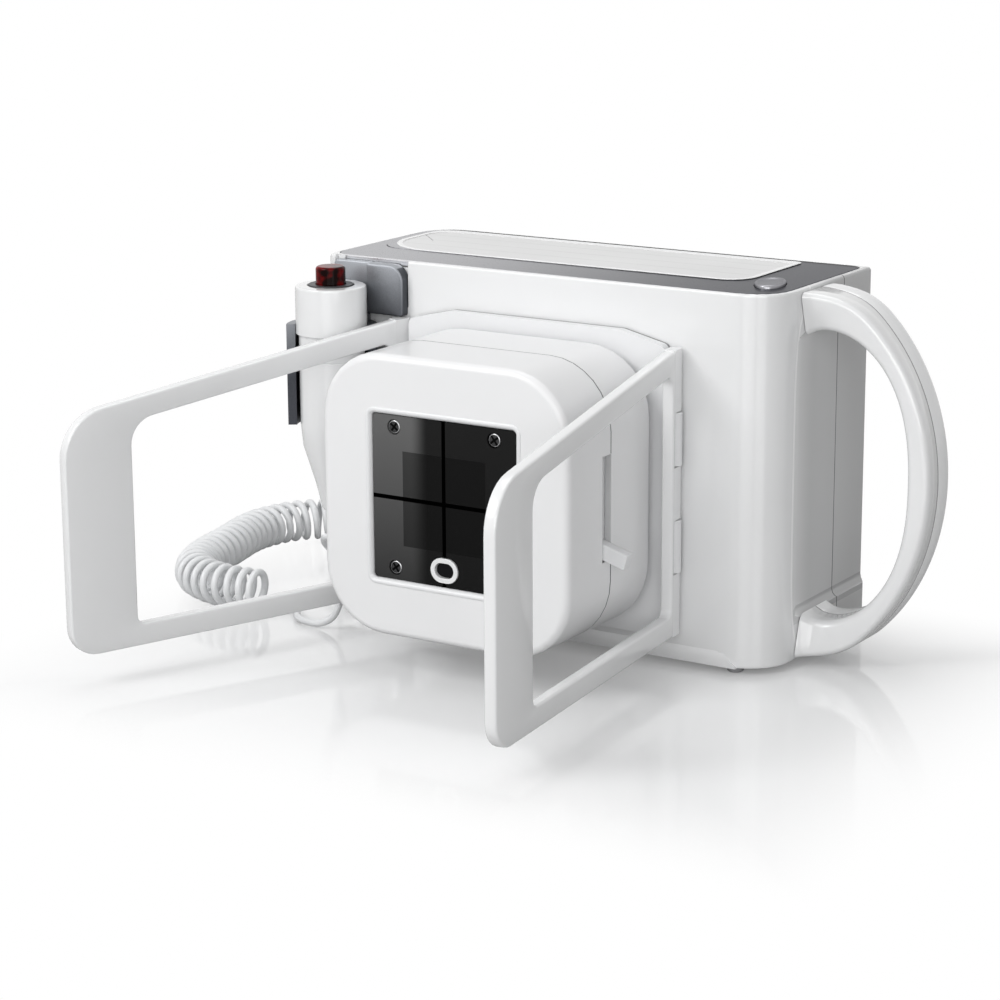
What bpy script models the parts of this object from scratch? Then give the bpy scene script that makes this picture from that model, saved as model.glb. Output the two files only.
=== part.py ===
"""Hand-carried X-ray unit: box housing, collimator, hinged spacer frames, carrying handle, corded switch.

Metres, +Z up. The beam leaves along -Y, the handle is at +X and the hand switch at -X. While it is modelled,
X = 0 is the beam axis, Y = 0 the housing's front face and Z = 0 the table; the last lines centre the unit over
the origin.
"""
import math

import bmesh
import bpy
import numpy as np
from mathutils import Matrix, Vector

# Clearances
GAP = 0.0003            # between pieces that seat on each other
BORE_PLAY = 0.0003      # pin to bore, on the radius

# Housing
FOOT_HEIGHT = 0.0020
FOOT_RADIUS = 0.0032
FOOT_INSET_X = 0.0165   # foot centre from the housing's end
FOOT_INSET_Y = 0.0095   # foot centre from the housing's front or back
BODY_WIDTH = 0.2010
BODY_DEPTH = 0.0845
BODY_HEIGHT = 0.1440    # shells and top trim together
WALL = 0.0030
GRIP_WALL = 0.0056      # end wall behind the handle
SPLIT_Y = 0.0580        # parting plane of the two shells
RADIUS_LEFT_FRONT = 0.0045
RADIUS_RIGHT_FRONT = 0.0180
RADIUS_RIGHT_BACK = 0.0035
RADIUS_LEFT_BACK = 0.0200
RIM_ROUND = 0.0014
REAR_ROUND_RUN = 0.0046  # the rear shell's top edge falls away behind the trim
REAR_ROUND_DROP = 0.0090
GRIP_RECESS_DEPTH = 0.0022
GRIP_RECESS_SLOPE = 0.0070  # run of the slope from the front column down to the recess
GRIP_RECESS_ENDS = 0.0165   # recess ends from the housing's top and bottom
BASE_CHAMFER = 0.0066   # height of the sloping band along the front's lower edge
BASE_CHAMFER_IN = 0.0020
BODY_TOP = FOOT_HEIGHT + BODY_HEIGHT
HALF = BODY_WIDTH / 2
GRIP_RECESS_LOW = FOOT_HEIGHT + GRIP_RECESS_ENDS
GRIP_RECESS_HIGH = BODY_TOP - GRIP_RECESS_ENDS
GRIP_RECESS_FRONT = RADIUS_RIGHT_FRONT + 0.0015

# Top trim, panel and power button
TRIM_THICK = 0.0025
TRIM_INSET = 0.0019
TRIM_BACK = BODY_DEPTH - REAR_ROUND_RUN - 0.0003
TRIM_CORNERS = (0.0080, 0.0150, 0.0060, 0.0150)
PANEL_RECESS = 0.0012
PANEL_PROUD = 0.0002
PANEL_LEFT = -HALF + 0.0070
PANEL_RIGHT = HALF - 0.0260
PANEL_FRONT = 0.0245
PANEL_BACK = TRIM_BACK - 0.0050
PANEL_CORNERS = (0.0120, 0.0110, 0.0020, 0.0100)
BUTTON_X = HALF - 0.0145
BUTTON_Y = 0.0245
BUTTON_LENGTH = 0.0200
BUTTON_WIDTH = 0.0115
BUTTON_TURN = math.radians(105)
BUTTON_PROUD = 0.0013
BUTTON_TRAVEL = 0.0009

# Carrying handle
HANDLE_FRONT_Y = 0.0250
HANDLE_SPLIT_Y = 0.0386
HANDLE_BACK_Y = 0.0500
HANDLE_REACH = 0.0492   # from the end wall to the outermost point
HANDLE_BAR = 0.0066     # bar thickness at the outermost point
HANDLE_TOP = BODY_TOP - 0.0012
HANDLE_BOTTOM = FOOT_HEIGHT + 0.0008
HANDLE_Z = (HANDLE_TOP + HANDLE_BOTTOM) / 2     # height of the outermost point
HANDLE_OUTER_RISE = (HANDLE_TOP - HANDLE_BOTTOM) * 0.568
HANDLE_OUTER_RUN = 0.0697
HANDLE_BLEND = 0.0090   # how softly the bar's ends level out
HANDLE_OPEN_RISE = (HANDLE_TOP - HANDLE_BOTTOM) * 0.402
HANDLE_OPEN_POWER = 2.35
HANDLE_ROUND = 0.0022

# Collimator
BEAM_Z = FOOT_HEIGHT + BODY_HEIGHT * 0.471
COLL_SIZE = 0.1085
COLL_CORNER = 0.0260
COLL_WALL = 0.0025
COLL_FRONT_Y = -0.0692
COLL_FRONT_WALL = 0.0092
COLL_SPLIT_Y = -0.0390
COLL_BACK_Y = -0.0083
COLL_ROUND = 0.0030
COLLAR_SIZE = 0.1005
COLLAR_THICK = 0.0027
BEAM_PORT = 0.0210      # radius of the beam's way out of the housing
WINDOW_SIZE = 0.0630
WINDOW_THICK = 0.0040
WINDOW_SUNK = 0.0010
WINDOW_MARGIN = 0.0010
OPENING_WIDTH = 0.0500
OPENING_HEIGHT = 0.0480
SCREW_X = 0.0220
SCREW_Z = 0.0270
SCREW_HEAD_RADIUS = 0.00265
SCREW_HEAD_THICK = 0.0014
SCREW_SHANK_RADIUS = 0.0011
SCREW_GRIP = 0.0024     # shank length in the ledge
PORT_DROP = 0.0252      # port centre below the beam
PORT_WIDTH = 0.0120
PORT_HEIGHT = 0.0095
PORT_RIM = 0.00185
PORT_PROUD = 0.0005

# Field mechanism: a cam ring turned by the lever closes four shutter blades
RING_BACK_Y = -0.0400
RING_THICK = 0.0045
RING_RADIUS = 0.0445
RING_BORE = 0.0270
LEVER_REACH = 0.0665    # lever tip from the beam axis
LEVER_WIDTH = 0.0060
LEVER_REST = math.radians(-16.5)
LEVER_SWING = math.radians(33.0)
LEVER_SLOT_WIDTH = 0.0056
LEVER_SLOT_HEIGHT = 0.0402
LEVER_SHIELD = 0.0503   # outer radius of the lever's shield behind the slot
LEVER_SHIELD_HALF = math.radians(41)
SHUTTER_OPEN = 0.0185   # half of the open field
SHUTTER_TRAVEL = 0.0100
SHUTTER_LENGTH = 0.0265
SHUTTER_WIDTH = 0.0420
SHUTTER_THICK = 0.0015
SHUTTER_PIN_RADIUS = 0.0012
SHUTTER_PIN_AT = 0.0410
APERTURE_Y = -0.0350
APERTURE_THICK = 0.0020
APERTURE_SIZE = 0.0340
APERTURE_COLLAR = 0.0022
MIRROR_WIDTH = 0.0340
MIRROR_THICK = 0.0012
LAMP_SIZE = 0.0170
LAMP_DROP = 0.0140

# Mount plate, hinges and spacer frames
PLATE_THICK = 0.0047
PLATE_LOW = BEAM_Z - 0.0578
PLATE_HIGH = BEAM_Z + 0.0547
PLATE_CROWN = BEAM_Z + 0.0592
PLATE_CROWN_HALF = 0.0380
HINGE_X = 0.0612
HINGE_Y = -0.0040
HINGE_LOW = BEAM_Z - 0.0528
HINGE_HIGH = BEAM_Z + 0.0512
KNUCKLES = 5
KNUCKLE_RADIUS = 0.0032
HINGE_PLAY = 0.0004     # running gap round and between knuckles
PIN_RADIUS = 0.0012
FRAME_LENGTH = 0.1500
FRAME_THICK = 0.0048
FRAME_TOP_BACK = BEAM_Z + 0.0547
FRAME_TOP_FRONT = BEAM_Z + 0.0332
FRAME_BASE_BACK = BEAM_Z - 0.0564
FRAME_BASE_FRONT = BEAM_Z - 0.0588
FRAME_CORNER = 0.0190
FRAME_BACK_CORNER = 0.0030
FRAME_TOP_BAR = 0.0086
FRAME_BASE_BAR = 0.0085
FRAME_FRONT_BAR = 0.0280
FRAME_BACK_BAR = 0.0052
FRAME_OPEN_CORNER = 0.0120
FRAME_EDGE = 0.0007
SPLAY_RIGHT = math.radians(4.9)
SPLAY_LEFT = math.radians(22.9)

# Hand switch and its cradle
SWITCH_X = -0.0865
SWITCH_Y = -0.0165
SWITCH_RADIUS = 0.0131
SWITCH_TOP = BODY_TOP - 0.0283
SWITCH_SHOULDER = SWITCH_TOP - 0.0357
SWITCH_WAIST = SWITCH_TOP - 0.0607
SWITCH_WAIST_RADIUS = 0.0075
SWITCH_TIP = SWITCH_TOP - 0.0717
SWITCH_TIP_RADIUS = 0.0046
SWITCH_SEAM = SWITCH_TOP - 0.0100
SEAM_DEPTH = 0.0003
CAP_RADIUS = 0.0142
CAP_HEIGHT = 0.0190
CAP_ROUND = 0.0012
COLLAR_RADIUS = 0.0091
COLLAR_PROUD = 0.0004
TRIGGER_RADIUS = 0.0059
TRIGGER_PROUD = 0.0075
TRIGGER_TRAVEL = 0.0030
TRIGGER_INSIDE = 0.0140
RELIEF_LENGTH = 0.0125
RELIEF_RADIUS = 0.0035
CLIP_WALL = 0.0042
CLIP_PLAY = 0.0006
CLIP_LOW = SWITCH_TOP - 0.0372
CLIP_LEFT_WRAP = math.radians(122)
CLIP_RIGHT_WRAP = math.radians(76)
CRADLE_FRONT = 0.0015   # cradle plate proud of the housing
CRADLE_SUNK = 0.0015    # cradle plate let into the housing
CRADLE_LEFT = -0.0955
CRADLE_RIGHT = -0.0612
CRADLE_NARROW = -0.0665
CRADLE_STEP = BODY_TOP - 0.0185
CRADLE_LOW = BODY_TOP - 0.0740
CRADLE_HIGH = BODY_TOP - 0.0016
CRADLE_CORNER = 0.0060

# Inside the housing
TANK_WIDTH = 0.0900
TANK_DEPTH = BODY_DEPTH - 0.0245
TANK_HEIGHT = BODY_HEIGHT - 0.0360
TUBE_RADIUS = 0.0190
TUBE_LENGTH = 0.0780
TUBE_WAIST = 0.0130
SNOUT_WALL = 0.0030
BATTERY_WIDTH = 0.0360
BATTERY_DEPTH = BODY_DEPTH - 0.0285
BATTERY_HEIGHT = BODY_HEIGHT - 0.0360
BOARD_LENGTH = BODY_DEPTH - 0.0245
BOARD_HEIGHT = BODY_HEIGHT - 0.0340
BOARD_THICK = 0.0016
BOARD_X = 0.0620

# Curly cord, laid on the table
WIRE = 0.0030
COIL_RADIUS = 0.0076
COIL_PITCH = 0.0054
CURL_POINTS = 9
COIL_ROUTE = ((-0.116, -0.027), (-0.138, -0.027), (-0.156, -0.019), (-0.1665, -0.002), (-0.172, 0.022),
              (-0.178, 0.050), (-0.174, 0.071), (-0.163, 0.084), (-0.149, 0.0885))
TAIL_ROUTE = ((-0.0985, -0.0285, 0.0062), (-0.0915, -0.0305, 0.0030), (-0.0845, -0.0315, 0.0020),
              (-0.0785, -0.0300, 0.0055), (-0.0770, -0.0262, 0.0120), (-0.0795, -0.0215, 0.0190),
              (-0.0838, -0.0182, 0.0250))
TAIL_HEIGHT = 0.0332    # height of the switch's strain relief that the tail is drawn for
LEAD_ROUTE = ((-0.1345, 0.0895, 0.0094), (-0.1315, 0.0825, 0.0096), (-0.1330, 0.0720, 0.0098),
              (-0.1375, 0.0600, 0.0108), (-0.1400, 0.0490, 0.0126), (-0.1370, 0.0410, 0.0146))
SOCKET_Y = 0.0380
SOCKET_Z = 0.0160
SOCKET_RADIUS = 0.0075
SOCKET_PROUD = 0.0025
PLUG_RADIUS = 0.0050
PLUG_LENGTH = 0.0210

TRIM_SEAT = BODY_TOP - TRIM_THICK - GAP
LEDGE_Y = COLL_FRONT_Y + WINDOW_SUNK + WINDOW_THICK + GAP
RING_FRONT_Y = RING_BACK_Y - RING_THICK
CAM_RATE = SHUTTER_TRAVEL / LEVER_SWING
COIL_Z = COIL_RADIUS + WIRE / 2 + GAP

for old in list(bpy.data.objects):
    bpy.data.objects.remove(old, do_unlink=True)

unit = bpy.data.collections.new("xray_unit")
cutters = bpy.data.collections.new("cutters")
bpy.context.scene.collection.children.link(unit)
bpy.context.scene.collection.children.link(cutters)
root = bpy.data.objects.new("unit_origin", None)
unit.objects.link(root)

# Frames for flat outlines: what the outline's u, v and thickness directions are in the model
FLAT_XY = Matrix(((1, 0, 0, 0), (0, 1, 0, 0), (0, 0, 1, 0), (0, 0, 0, 1)))
FLAT_XZ = Matrix(((1, 0, 0, 0), (0, 0, -1, 0), (0, 1, 0, 0), (0, 0, 0, 1)))
FLAT_YZ = Matrix(((0, 0, -1, 0), (-1, 0, 0, 0), (0, 1, 0, 0), (0, 0, 0, 1)))   # u runs along -Y
TURN_Y = Matrix.Rotation(math.radians(90), 4, "X")       # a turned piece's top faces -Y
TURN_X = Matrix.Rotation(math.radians(-90), 4, "Y")      # a turned piece's top faces -X


def finish(obj, colour, roughness, metallic=0.0):
    """Gives a piece its own material."""
    material = bpy.data.materials.new(obj.name)
    material.use_nodes = True
    shader = material.node_tree.nodes["Principled BSDF"]
    shader.inputs["Base Color"].default_value = (*colour, 1.0)
    shader.inputs["Roughness"].default_value = roughness
    shader.inputs["Metallic"].default_value = metallic
    obj.data.materials.clear()
    obj.data.materials.append(material)
    return obj


def as_piece(obj, at=(0, 0, 0), parent=None):
    """Puts an object in the unit, at its joint or seat."""
    unit.objects.link(obj)
    obj.location = at
    obj.parent = parent or root
    return obj


def as_cutter(obj):
    """Keeps an object as a hidden tool body."""
    cutters.objects.link(obj)
    obj.hide_render = True
    obj.display_type = "WIRE"
    obj.parent = root
    return obj


def boolean(obj, tool, operation="DIFFERENCE"):
    modifier = obj.modifiers.new(operation.title(), "BOOLEAN")
    modifier.operation = operation
    modifier.object = tool
    modifier.solver = "EXACT"
    return obj


def bevel(obj, width, segments=2, angle=50):
    modifier = obj.modifiers.new("Bevel", "BEVEL")
    modifier.width = width
    modifier.segments = segments
    modifier.limit_method = "ANGLE"
    modifier.angle_limit = math.radians(angle)
    return obj


def smooth(mesh, angle=35):
    mesh.shade_smooth()
    mesh.set_sharp_from_angle(angle=math.radians(angle))


def box(name, low, high):
    """A box between two corners."""
    mesh = bpy.data.meshes.new(name)
    form = bmesh.new()
    size = Vector(high) - Vector(low)
    middle = (Vector(high) + Vector(low)) / 2
    bmesh.ops.create_cube(form, size=1.0, matrix=Matrix.Translation(middle) @ Matrix.Diagonal((*size, 1.0)))
    form.to_mesh(mesh)
    form.free()
    return bpy.data.objects.new(name, mesh)


def rod(name, radius, start, end, sides=24):
    """A round bar between two points."""
    start, end = Vector(start), Vector(end)
    mesh = bpy.data.meshes.new(name)
    form = bmesh.new()
    turn = (end - start).to_track_quat("Z", "Y").to_matrix().to_4x4()
    bmesh.ops.create_cone(form, cap_ends=True, segments=sides, radius1=radius, radius2=radius,
                          depth=(end - start).length, matrix=Matrix.Translation((start + end) / 2) @ turn)
    form.to_mesh(mesh)
    form.free()
    smooth(mesh)
    return bpy.data.objects.new(name, mesh)


def rounded(corners, radii, steps=6):
    """A closed outline whose corners are arcs."""
    outline = []
    for index, corner in enumerate(corners):
        radius = radii[index] if isinstance(radii, (list, tuple)) else radii
        here = Vector(corner)
        back = (Vector(corners[index - 1]) - here).normalized()
        ahead = (Vector(corners[(index + 1) % len(corners)]) - here).normalized()
        half = back.angle(ahead) / 2
        if radius <= 0 or abs(half - math.pi / 2) < 1e-6:
            outline.append(tuple(here))
            continue
        centre = here + (back + ahead).normalized() * (radius / math.sin(half))
        first = here + back * (radius / math.tan(half)) - centre
        last = here + ahead * (radius / math.tan(half)) - centre
        begin = math.atan2(first.y, first.x)
        sweep = (math.atan2(last.y, last.x) - begin + math.pi) % (2 * math.pi) - math.pi
        for step in range(steps + 1):
            turn = begin + sweep * step / steps
            outline.append((centre.x + radius * math.cos(turn), centre.y + radius * math.sin(turn)))
    return outline


def square(width, height, radius, middle=(0.0, 0.0), steps=6):
    """A rectangle with round corners."""
    u, v = middle
    corners = [(u - width / 2, v - height / 2), (u + width / 2, v - height / 2),
               (u + width / 2, v + height / 2), (u - width / 2, v + height / 2)]
    return rounded(corners, radius, steps)


def circle(radius, middle=(0.0, 0.0), sides=40):
    turns = (2 * math.pi * k / sides for k in range(sides))
    return [(middle[0] + radius * math.cos(t), middle[1] + radius * math.sin(t)) for t in turns]


def slab(name, loops, low, high, frame=FLAT_XY):
    """A flat outline with its holes, thick from low to high along the frame's third direction."""
    curve = bpy.data.curves.new(name, "CURVE")
    curve.dimensions = "2D"
    curve.fill_mode = "BOTH"
    curve.extrude = (high - low) / 2
    for loop in loops:
        spline = curve.splines.new("POLY")
        spline.points.add(len(loop) - 1)
        spline.points.foreach_set("co", [c for u, v in loop for c in (u, v, 0.0, 1.0)])
        spline.use_cyclic_u = True
    flat = bpy.data.objects.new(name, curve)
    bpy.context.scene.collection.objects.link(flat)
    graph = bpy.context.evaluated_depsgraph_get()
    mesh = bpy.data.meshes.new_from_object(flat.evaluated_get(graph))
    bpy.data.objects.remove(flat)
    bpy.data.curves.remove(curve)
    form = bmesh.new()
    form.from_mesh(mesh)
    bmesh.ops.remove_doubles(form, verts=form.verts, dist=1e-6)
    bmesh.ops.dissolve_limit(form, angle_limit=math.radians(0.5), verts=form.verts, edges=form.edges)
    bmesh.ops.recalc_face_normals(form, faces=form.faces)
    form.to_mesh(mesh)
    form.free()
    mesh.transform(frame @ Matrix.Translation((0, 0, (low + high) / 2)))
    smooth(mesh)
    return bpy.data.objects.new(name, mesh)


def turned(name, profile, sides=32, frame=Matrix()):
    """A turned piece: its profile of (radius, height) runs down the outer side, from top to bottom."""
    mesh = bpy.data.meshes.new(name)
    points = [(r, 0.0, z) for r, z in profile]
    closed = profile[0][0] > 0
    edges = [(k, k + 1) for k in range(len(points) - 1)]
    if closed:
        edges.append((len(points) - 1, 0))
    mesh.from_pydata(points, edges, [])
    obj = bpy.data.objects.new(name, mesh)
    modifier = obj.modifiers.new("Screw", "SCREW")
    modifier.steps = sides
    modifier.render_steps = sides
    modifier.use_merge_vertices = True
    modifier.merge_threshold = 0.00001
    modifier.use_smooth_shade = True
    bpy.context.scene.collection.objects.link(obj)
    graph = bpy.context.evaluated_depsgraph_get()
    turned_mesh = bpy.data.meshes.new_from_object(obj.evaluated_get(graph))
    bpy.data.objects.remove(obj)
    turned_mesh.transform(frame)
    smooth(turned_mesh)
    turned_mesh.name = name
    return bpy.data.objects.new(name, turned_mesh)


WHITE_GLOSS = ((0.86, 0.87, 0.88), 0.18)
WHITE_SATIN = ((0.82, 0.83, 0.84), 0.32)
SILVER = ((0.46, 0.47, 0.49), 0.34, 0.8)
STEEL_BLUE = ((0.40, 0.42, 0.46), 0.30, 0.8)
DARK = ((0.03, 0.03, 0.035), 0.40)
GREY = ((0.42, 0.42, 0.43), 0.40)
BARE_STEEL = ((0.55, 0.55, 0.56), 0.30, 1.0)


def body_outline(inset, grip_inset):
    """The housing in plan, drawn in by inset all round and by grip_inset at the handle's end."""
    corners = [(-HALF + inset, inset), (HALF - grip_inset, inset),
               (HALF - grip_inset, BODY_DEPTH - inset), (-HALF + inset, BODY_DEPTH - inset)]
    radii = [max(r - inset, 0.001)
             for r in (RADIUS_LEFT_FRONT, RADIUS_RIGHT_FRONT, RADIUS_RIGHT_BACK, RADIUS_LEFT_BACK)]
    return rounded(corners, radii, 7)


def trim_outline(grow):
    """The top trim in plan, grown by grow."""
    left, right = -HALF + TRIM_INSET - grow, HALF - TRIM_INSET + grow
    front, back = TRIM_INSET - grow, TRIM_BACK + grow
    corners = [(left, front), (right, front), (right, back), (left, back)]
    return rounded(corners, [r + grow for r in TRIM_CORNERS], 6)


def cradle_outline(grow, high):
    """The cradle's back plate, seen from the front, grown by grow and as high as high."""
    corners = [(CRADLE_LEFT - grow, CRADLE_LOW - grow), (CRADLE_NARROW + grow, CRADLE_LOW - grow),
               (CRADLE_NARROW + grow, CRADLE_STEP - grow), (CRADLE_RIGHT + grow, CRADLE_STEP - grow),
               (CRADLE_RIGHT + grow, high), (CRADLE_LEFT - grow, high)]
    radii = (0.003, CRADLE_CORNER / 2, 0.001, 0.001, CRADLE_CORNER, 0.002)
    return rounded(corners, radii, 4)


def button_outline(grow):
    """The power button's oval, grown by grow."""
    points = []
    for u, v in circle(1.0, sides=28):
        u, v = u * (BUTTON_LENGTH / 2 + grow), v * (BUTTON_WIDTH / 2 + grow)
        points.append((BUTTON_X + u * math.cos(BUTTON_TURN) - v * math.sin(BUTTON_TURN),
                       BUTTON_Y + u * math.sin(BUTTON_TURN) + v * math.cos(BUTTON_TURN)))
    return points


def panel_outline(inset):
    """The white top panel: round corners, sharper at the back right."""
    left, right = PANEL_LEFT + inset, PANEL_RIGHT - inset
    front, back = PANEL_FRONT + inset, PANEL_BACK - inset
    corners = [(left, front), (right, front), (right, back), (left, back)]
    return rounded(corners, [r - inset for r in PANEL_CORNERS], 6)


# Housing: two moulded shells that part behind the handle
shell_space = as_cutter(slab("shell_space", [body_outline(WALL, GRIP_WALL)],
                             FOOT_HEIGHT + WALL, TRIM_SEAT - WALL))
recess_floor = HALF - GRIP_RECESS_DEPTH
recess_rise = 0.003
recess_start = GRIP_RECESS_FRONT - GRIP_RECESS_SLOPE * recess_rise / GRIP_RECESS_DEPTH
grip_recess = as_cutter(slab("grip_recess", [[
    (HALF + recess_rise, recess_start), (HALF + 0.020, recess_start), (HALF + 0.020, BODY_DEPTH + 0.02),
    (recess_floor, BODY_DEPTH + 0.02), (recess_floor, GRIP_RECESS_FRONT + GRIP_RECESS_SLOPE)]],
    GRIP_RECESS_LOW, GRIP_RECESS_HIGH))
bevel(grip_recess, GRIP_RECESS_DEPTH * 1.4, 3, 60)
trim_seat = as_cutter(slab("trim_seat", [trim_outline(GAP)], TRIM_SEAT, BODY_TOP + 0.01))
arc = [math.radians(15 * k) for k in range(7)]
edge = [(-BODY_DEPTH + REAR_ROUND_RUN * (1 - math.sin(t)), BODY_TOP - REAR_ROUND_DROP * (1 - math.cos(t)))
        for t in arc]
edge += [(-BODY_DEPTH - 0.01, BODY_TOP - REAR_ROUND_DROP), (-BODY_DEPTH - 0.01, BODY_TOP + 0.01),
         (-BODY_DEPTH + REAR_ROUND_RUN, BODY_TOP + 0.01)]
rear_round = as_cutter(slab("rear_round", [edge], -HALF - 0.02, HALF + 0.02, FLAT_YZ))
beam_way = as_cutter(rod("beam_way", BEAM_PORT + GAP, (0, -0.02, BEAM_Z), (0, WALL + 0.004, BEAM_Z), 40))
cradle_pocket = as_cutter(slab("cradle_pocket", [cradle_outline(GAP, BODY_TOP + CRADLE_CORNER)],
                               -CRADLE_SUNK - GAP, 0.01, FLAT_XZ))
socket_way = as_cutter(rod("socket_way", SOCKET_RADIUS * 0.7 + GAP, (-HALF - 0.01, SOCKET_Y, SOCKET_Z),
                           (-HALF + WALL + 0.004, SOCKET_Y, SOCKET_Z)))
base_band = box("base_band", (-HALF - 0.01, -0.02, -0.02), (HALF - RADIUS_RIGHT_FRONT * 1.2, 0.0, 0.006))
base_band.data.transform(Matrix.Rotation(math.atan2(BASE_CHAMFER_IN, BASE_CHAMFER), 4, "X"))
base_band.data.transform(Matrix.Translation((0, 0, FOOT_HEIGHT + BASE_CHAMFER)))
as_cutter(base_band)

for name, low, high in (("front_shell", SPLIT_Y - GAP / 2, BODY_DEPTH + 0.02),
                        ("rear_shell", -0.02, SPLIT_Y + GAP / 2)):
    shell = as_piece(slab(name, [body_outline(0.0, 0.0)], FOOT_HEIGHT, BODY_TOP))
    bevel(shell, RIM_ROUND, 2)
    other_half = as_cutter(box(name + "_parting", (-HALF - 0.01, low, -0.01), (HALF + 0.01, high, BODY_TOP)))
    for tool in (shell_space, other_half, trim_seat, grip_recess):
        boolean(shell, tool)
    finish(shell, *WHITE_GLOSS)
front_shell = bpy.data.objects["front_shell"]
boolean(bpy.data.objects["rear_shell"], rear_round)
for tool in (beam_way, cradle_pocket, socket_way, base_band):
    boolean(front_shell, tool)

for side, end in (("left", -1), ("right", 1)):
    for depth, row in ((FOOT_INSET_Y, "front"), (BODY_DEPTH - FOOT_INSET_Y, "rear")):
        foot = turned(f"foot_{row}_{side}", [(0, FOOT_HEIGHT - GAP), (FOOT_RADIUS, FOOT_HEIGHT - GAP),
                                            (FOOT_RADIUS, 0.0004), (FOOT_RADIUS - 0.0004, 0), (0, 0)], 20)
        as_piece(foot, (end * (HALF - FOOT_INSET_X), depth, 0))
        finish(foot, *GREY)

# Top trim with its inset panel and the power button
panel_recess = as_cutter(slab("panel_recess", [panel_outline(0.0)], BODY_TOP - PANEL_RECESS, BODY_TOP + 0.01))
trim = as_piece(slab("top_trim", [trim_outline(0.0)], BODY_TOP - TRIM_THICK, BODY_TOP))
bevel(trim, 0.0004, 1)
boolean(trim, panel_recess)
boolean(trim, as_cutter(slab("button_way", [button_outline(GAP)], TRIM_SEAT - GAP, BODY_TOP + 0.01)))
finish(trim, *SILVER)
panel = as_piece(slab("top_panel", [panel_outline(GAP)], BODY_TOP - PANEL_RECESS + GAP, BODY_TOP + PANEL_PROUD))
finish(panel, *WHITE_SATIN)
button = slab("power_button", [button_outline(0.0)],
              BODY_TOP - TRIM_THICK + BUTTON_TRAVEL, BODY_TOP + BUTTON_PROUD)
button.data.transform(Matrix.Translation((-BUTTON_X, -BUTTON_Y, -BODY_TOP)))
as_piece(button, (BUTTON_X, BUTTON_Y, BODY_TOP))
bevel(button, 0.0006, 2)
finish(button, *SILVER)

# Carrying handle: two halves of one D-shaped bar, an elliptical outside and a squarer opening
handle_root = HALF + GAP
outer_middle = handle_root + HANDLE_REACH - HANDLE_OUTER_RUN
open_run = HANDLE_REACH - HANDLE_BAR


def handle_outline():
    """The handle from the front: down the ellipse outside, back up the superellipse inside."""
    def level(z):
        """Eases a height towards the bar's top and bottom, where it levels out."""
        for limit, sign in ((HANDLE_TOP, 1), (HANDLE_BOTTOM, -1)):
            share = np.clip(0.5 + 0.5 * sign * (limit - z) / HANDLE_BLEND, 0, 1)
            z = z * share + limit * (1 - share) - sign * HANDLE_BLEND * share * (1 - share)
        return z
    reach = math.acos((handle_root - outer_middle) / HANDLE_OUTER_RUN)
    round_bar = np.linspace(reach, -reach, 30)
    outer_x = outer_middle + HANDLE_OUTER_RUN * np.cos(round_bar)
    outer = list(zip(outer_x, level(HANDLE_Z + HANDLE_OUTER_RISE * np.sin(round_bar))))
    sweep = np.sin(np.linspace(-math.pi / 2, math.pi / 2, 20))
    inner = handle_root + open_run * (1 - np.abs(sweep) ** HANDLE_OPEN_POWER) ** (1 / HANDLE_OPEN_POWER)
    return outer + list(zip(inner, HANDLE_Z + HANDLE_OPEN_RISE * sweep))


for name, near, far in (("handle_front", HANDLE_FRONT_Y, HANDLE_SPLIT_Y - GAP / 2),
                        ("handle_rear", HANDLE_SPLIT_Y + GAP / 2, HANDLE_BACK_Y)):
    is_front = near == HANDLE_FRONT_Y
    half_bar = as_piece(slab(name, [handle_outline()], -far - (HANDLE_ROUND * 2 if is_front else 0.0),
                             -near + (0.0 if is_front else HANDLE_ROUND * 2), FLAT_XZ))
    bevel(half_bar, HANDLE_ROUND, 2, 55)
    start, end = (far, far + 0.02) if is_front else (near - 0.02, near)
    seam = box(name + "_seam", (HALF - 0.01, start, -0.01), (HALF + 0.08, end, BODY_TOP + 0.01))
    boolean(half_bar, as_cutter(seam))
    root_trim = box(name + "_root", (HALF - 0.02, -0.02, -0.01), (handle_root, 0.10, BODY_TOP + 0.01))
    boolean(half_bar, as_cutter(root_trim))
    finish(half_bar, *WHITE_GLOSS)

# Tube head: an oil tank with a bore for the tube, and a snout that brings the beam to the front
tank = slab("tube_head", [square(TANK_WIDTH, TANK_DEPTH, 0.006, (0, WALL + GAP + TANK_DEPTH / 2), 3)],
            FOOT_HEIGHT + WALL + GAP, FOOT_HEIGHT + WALL + GAP + TANK_HEIGHT)
as_piece(tank)
tube_y = WALL + GAP + TANK_DEPTH / 2
snout = as_cutter(rod("snout", BEAM_PORT - SNOUT_WALL / 3, (0, COLL_BACK_Y + 0.0035, BEAM_Z),
                      (0, tube_y, BEAM_Z), 32))
boolean(tank, snout, "UNION")
boolean(tank, as_cutter(rod("tube_bore", TUBE_RADIUS + GAP, (-TUBE_LENGTH / 2 - GAP, tube_y, BEAM_Z),
                            (TUBE_LENGTH / 2 + GAP, tube_y, BEAM_Z), 32)))
snout_bore = rod("snout_bore", BEAM_PORT - SNOUT_WALL * 4 / 3, (0, -0.03, BEAM_Z), (0, tube_y, BEAM_Z), 32)
boolean(tank, as_cutter(snout_bore))
finish(tank, *BARE_STEEL)
flange = TUBE_LENGTH / 2
tube = turned("xray_tube", [(0, flange), (TUBE_RADIUS, flange), (TUBE_RADIUS, flange * 0.7),
                            (TUBE_WAIST, flange * 0.5), (TUBE_WAIST, -flange * 0.5),
                            (TUBE_RADIUS, -flange * 0.7), (TUBE_RADIUS, -flange), (0, -flange)], 28, TURN_X)
as_piece(tube, (0, tube_y, BEAM_Z))
finish(tube, (0.70, 0.72, 0.74), 0.1)
floor_z = FOOT_HEIGHT + WALL + GAP
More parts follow.
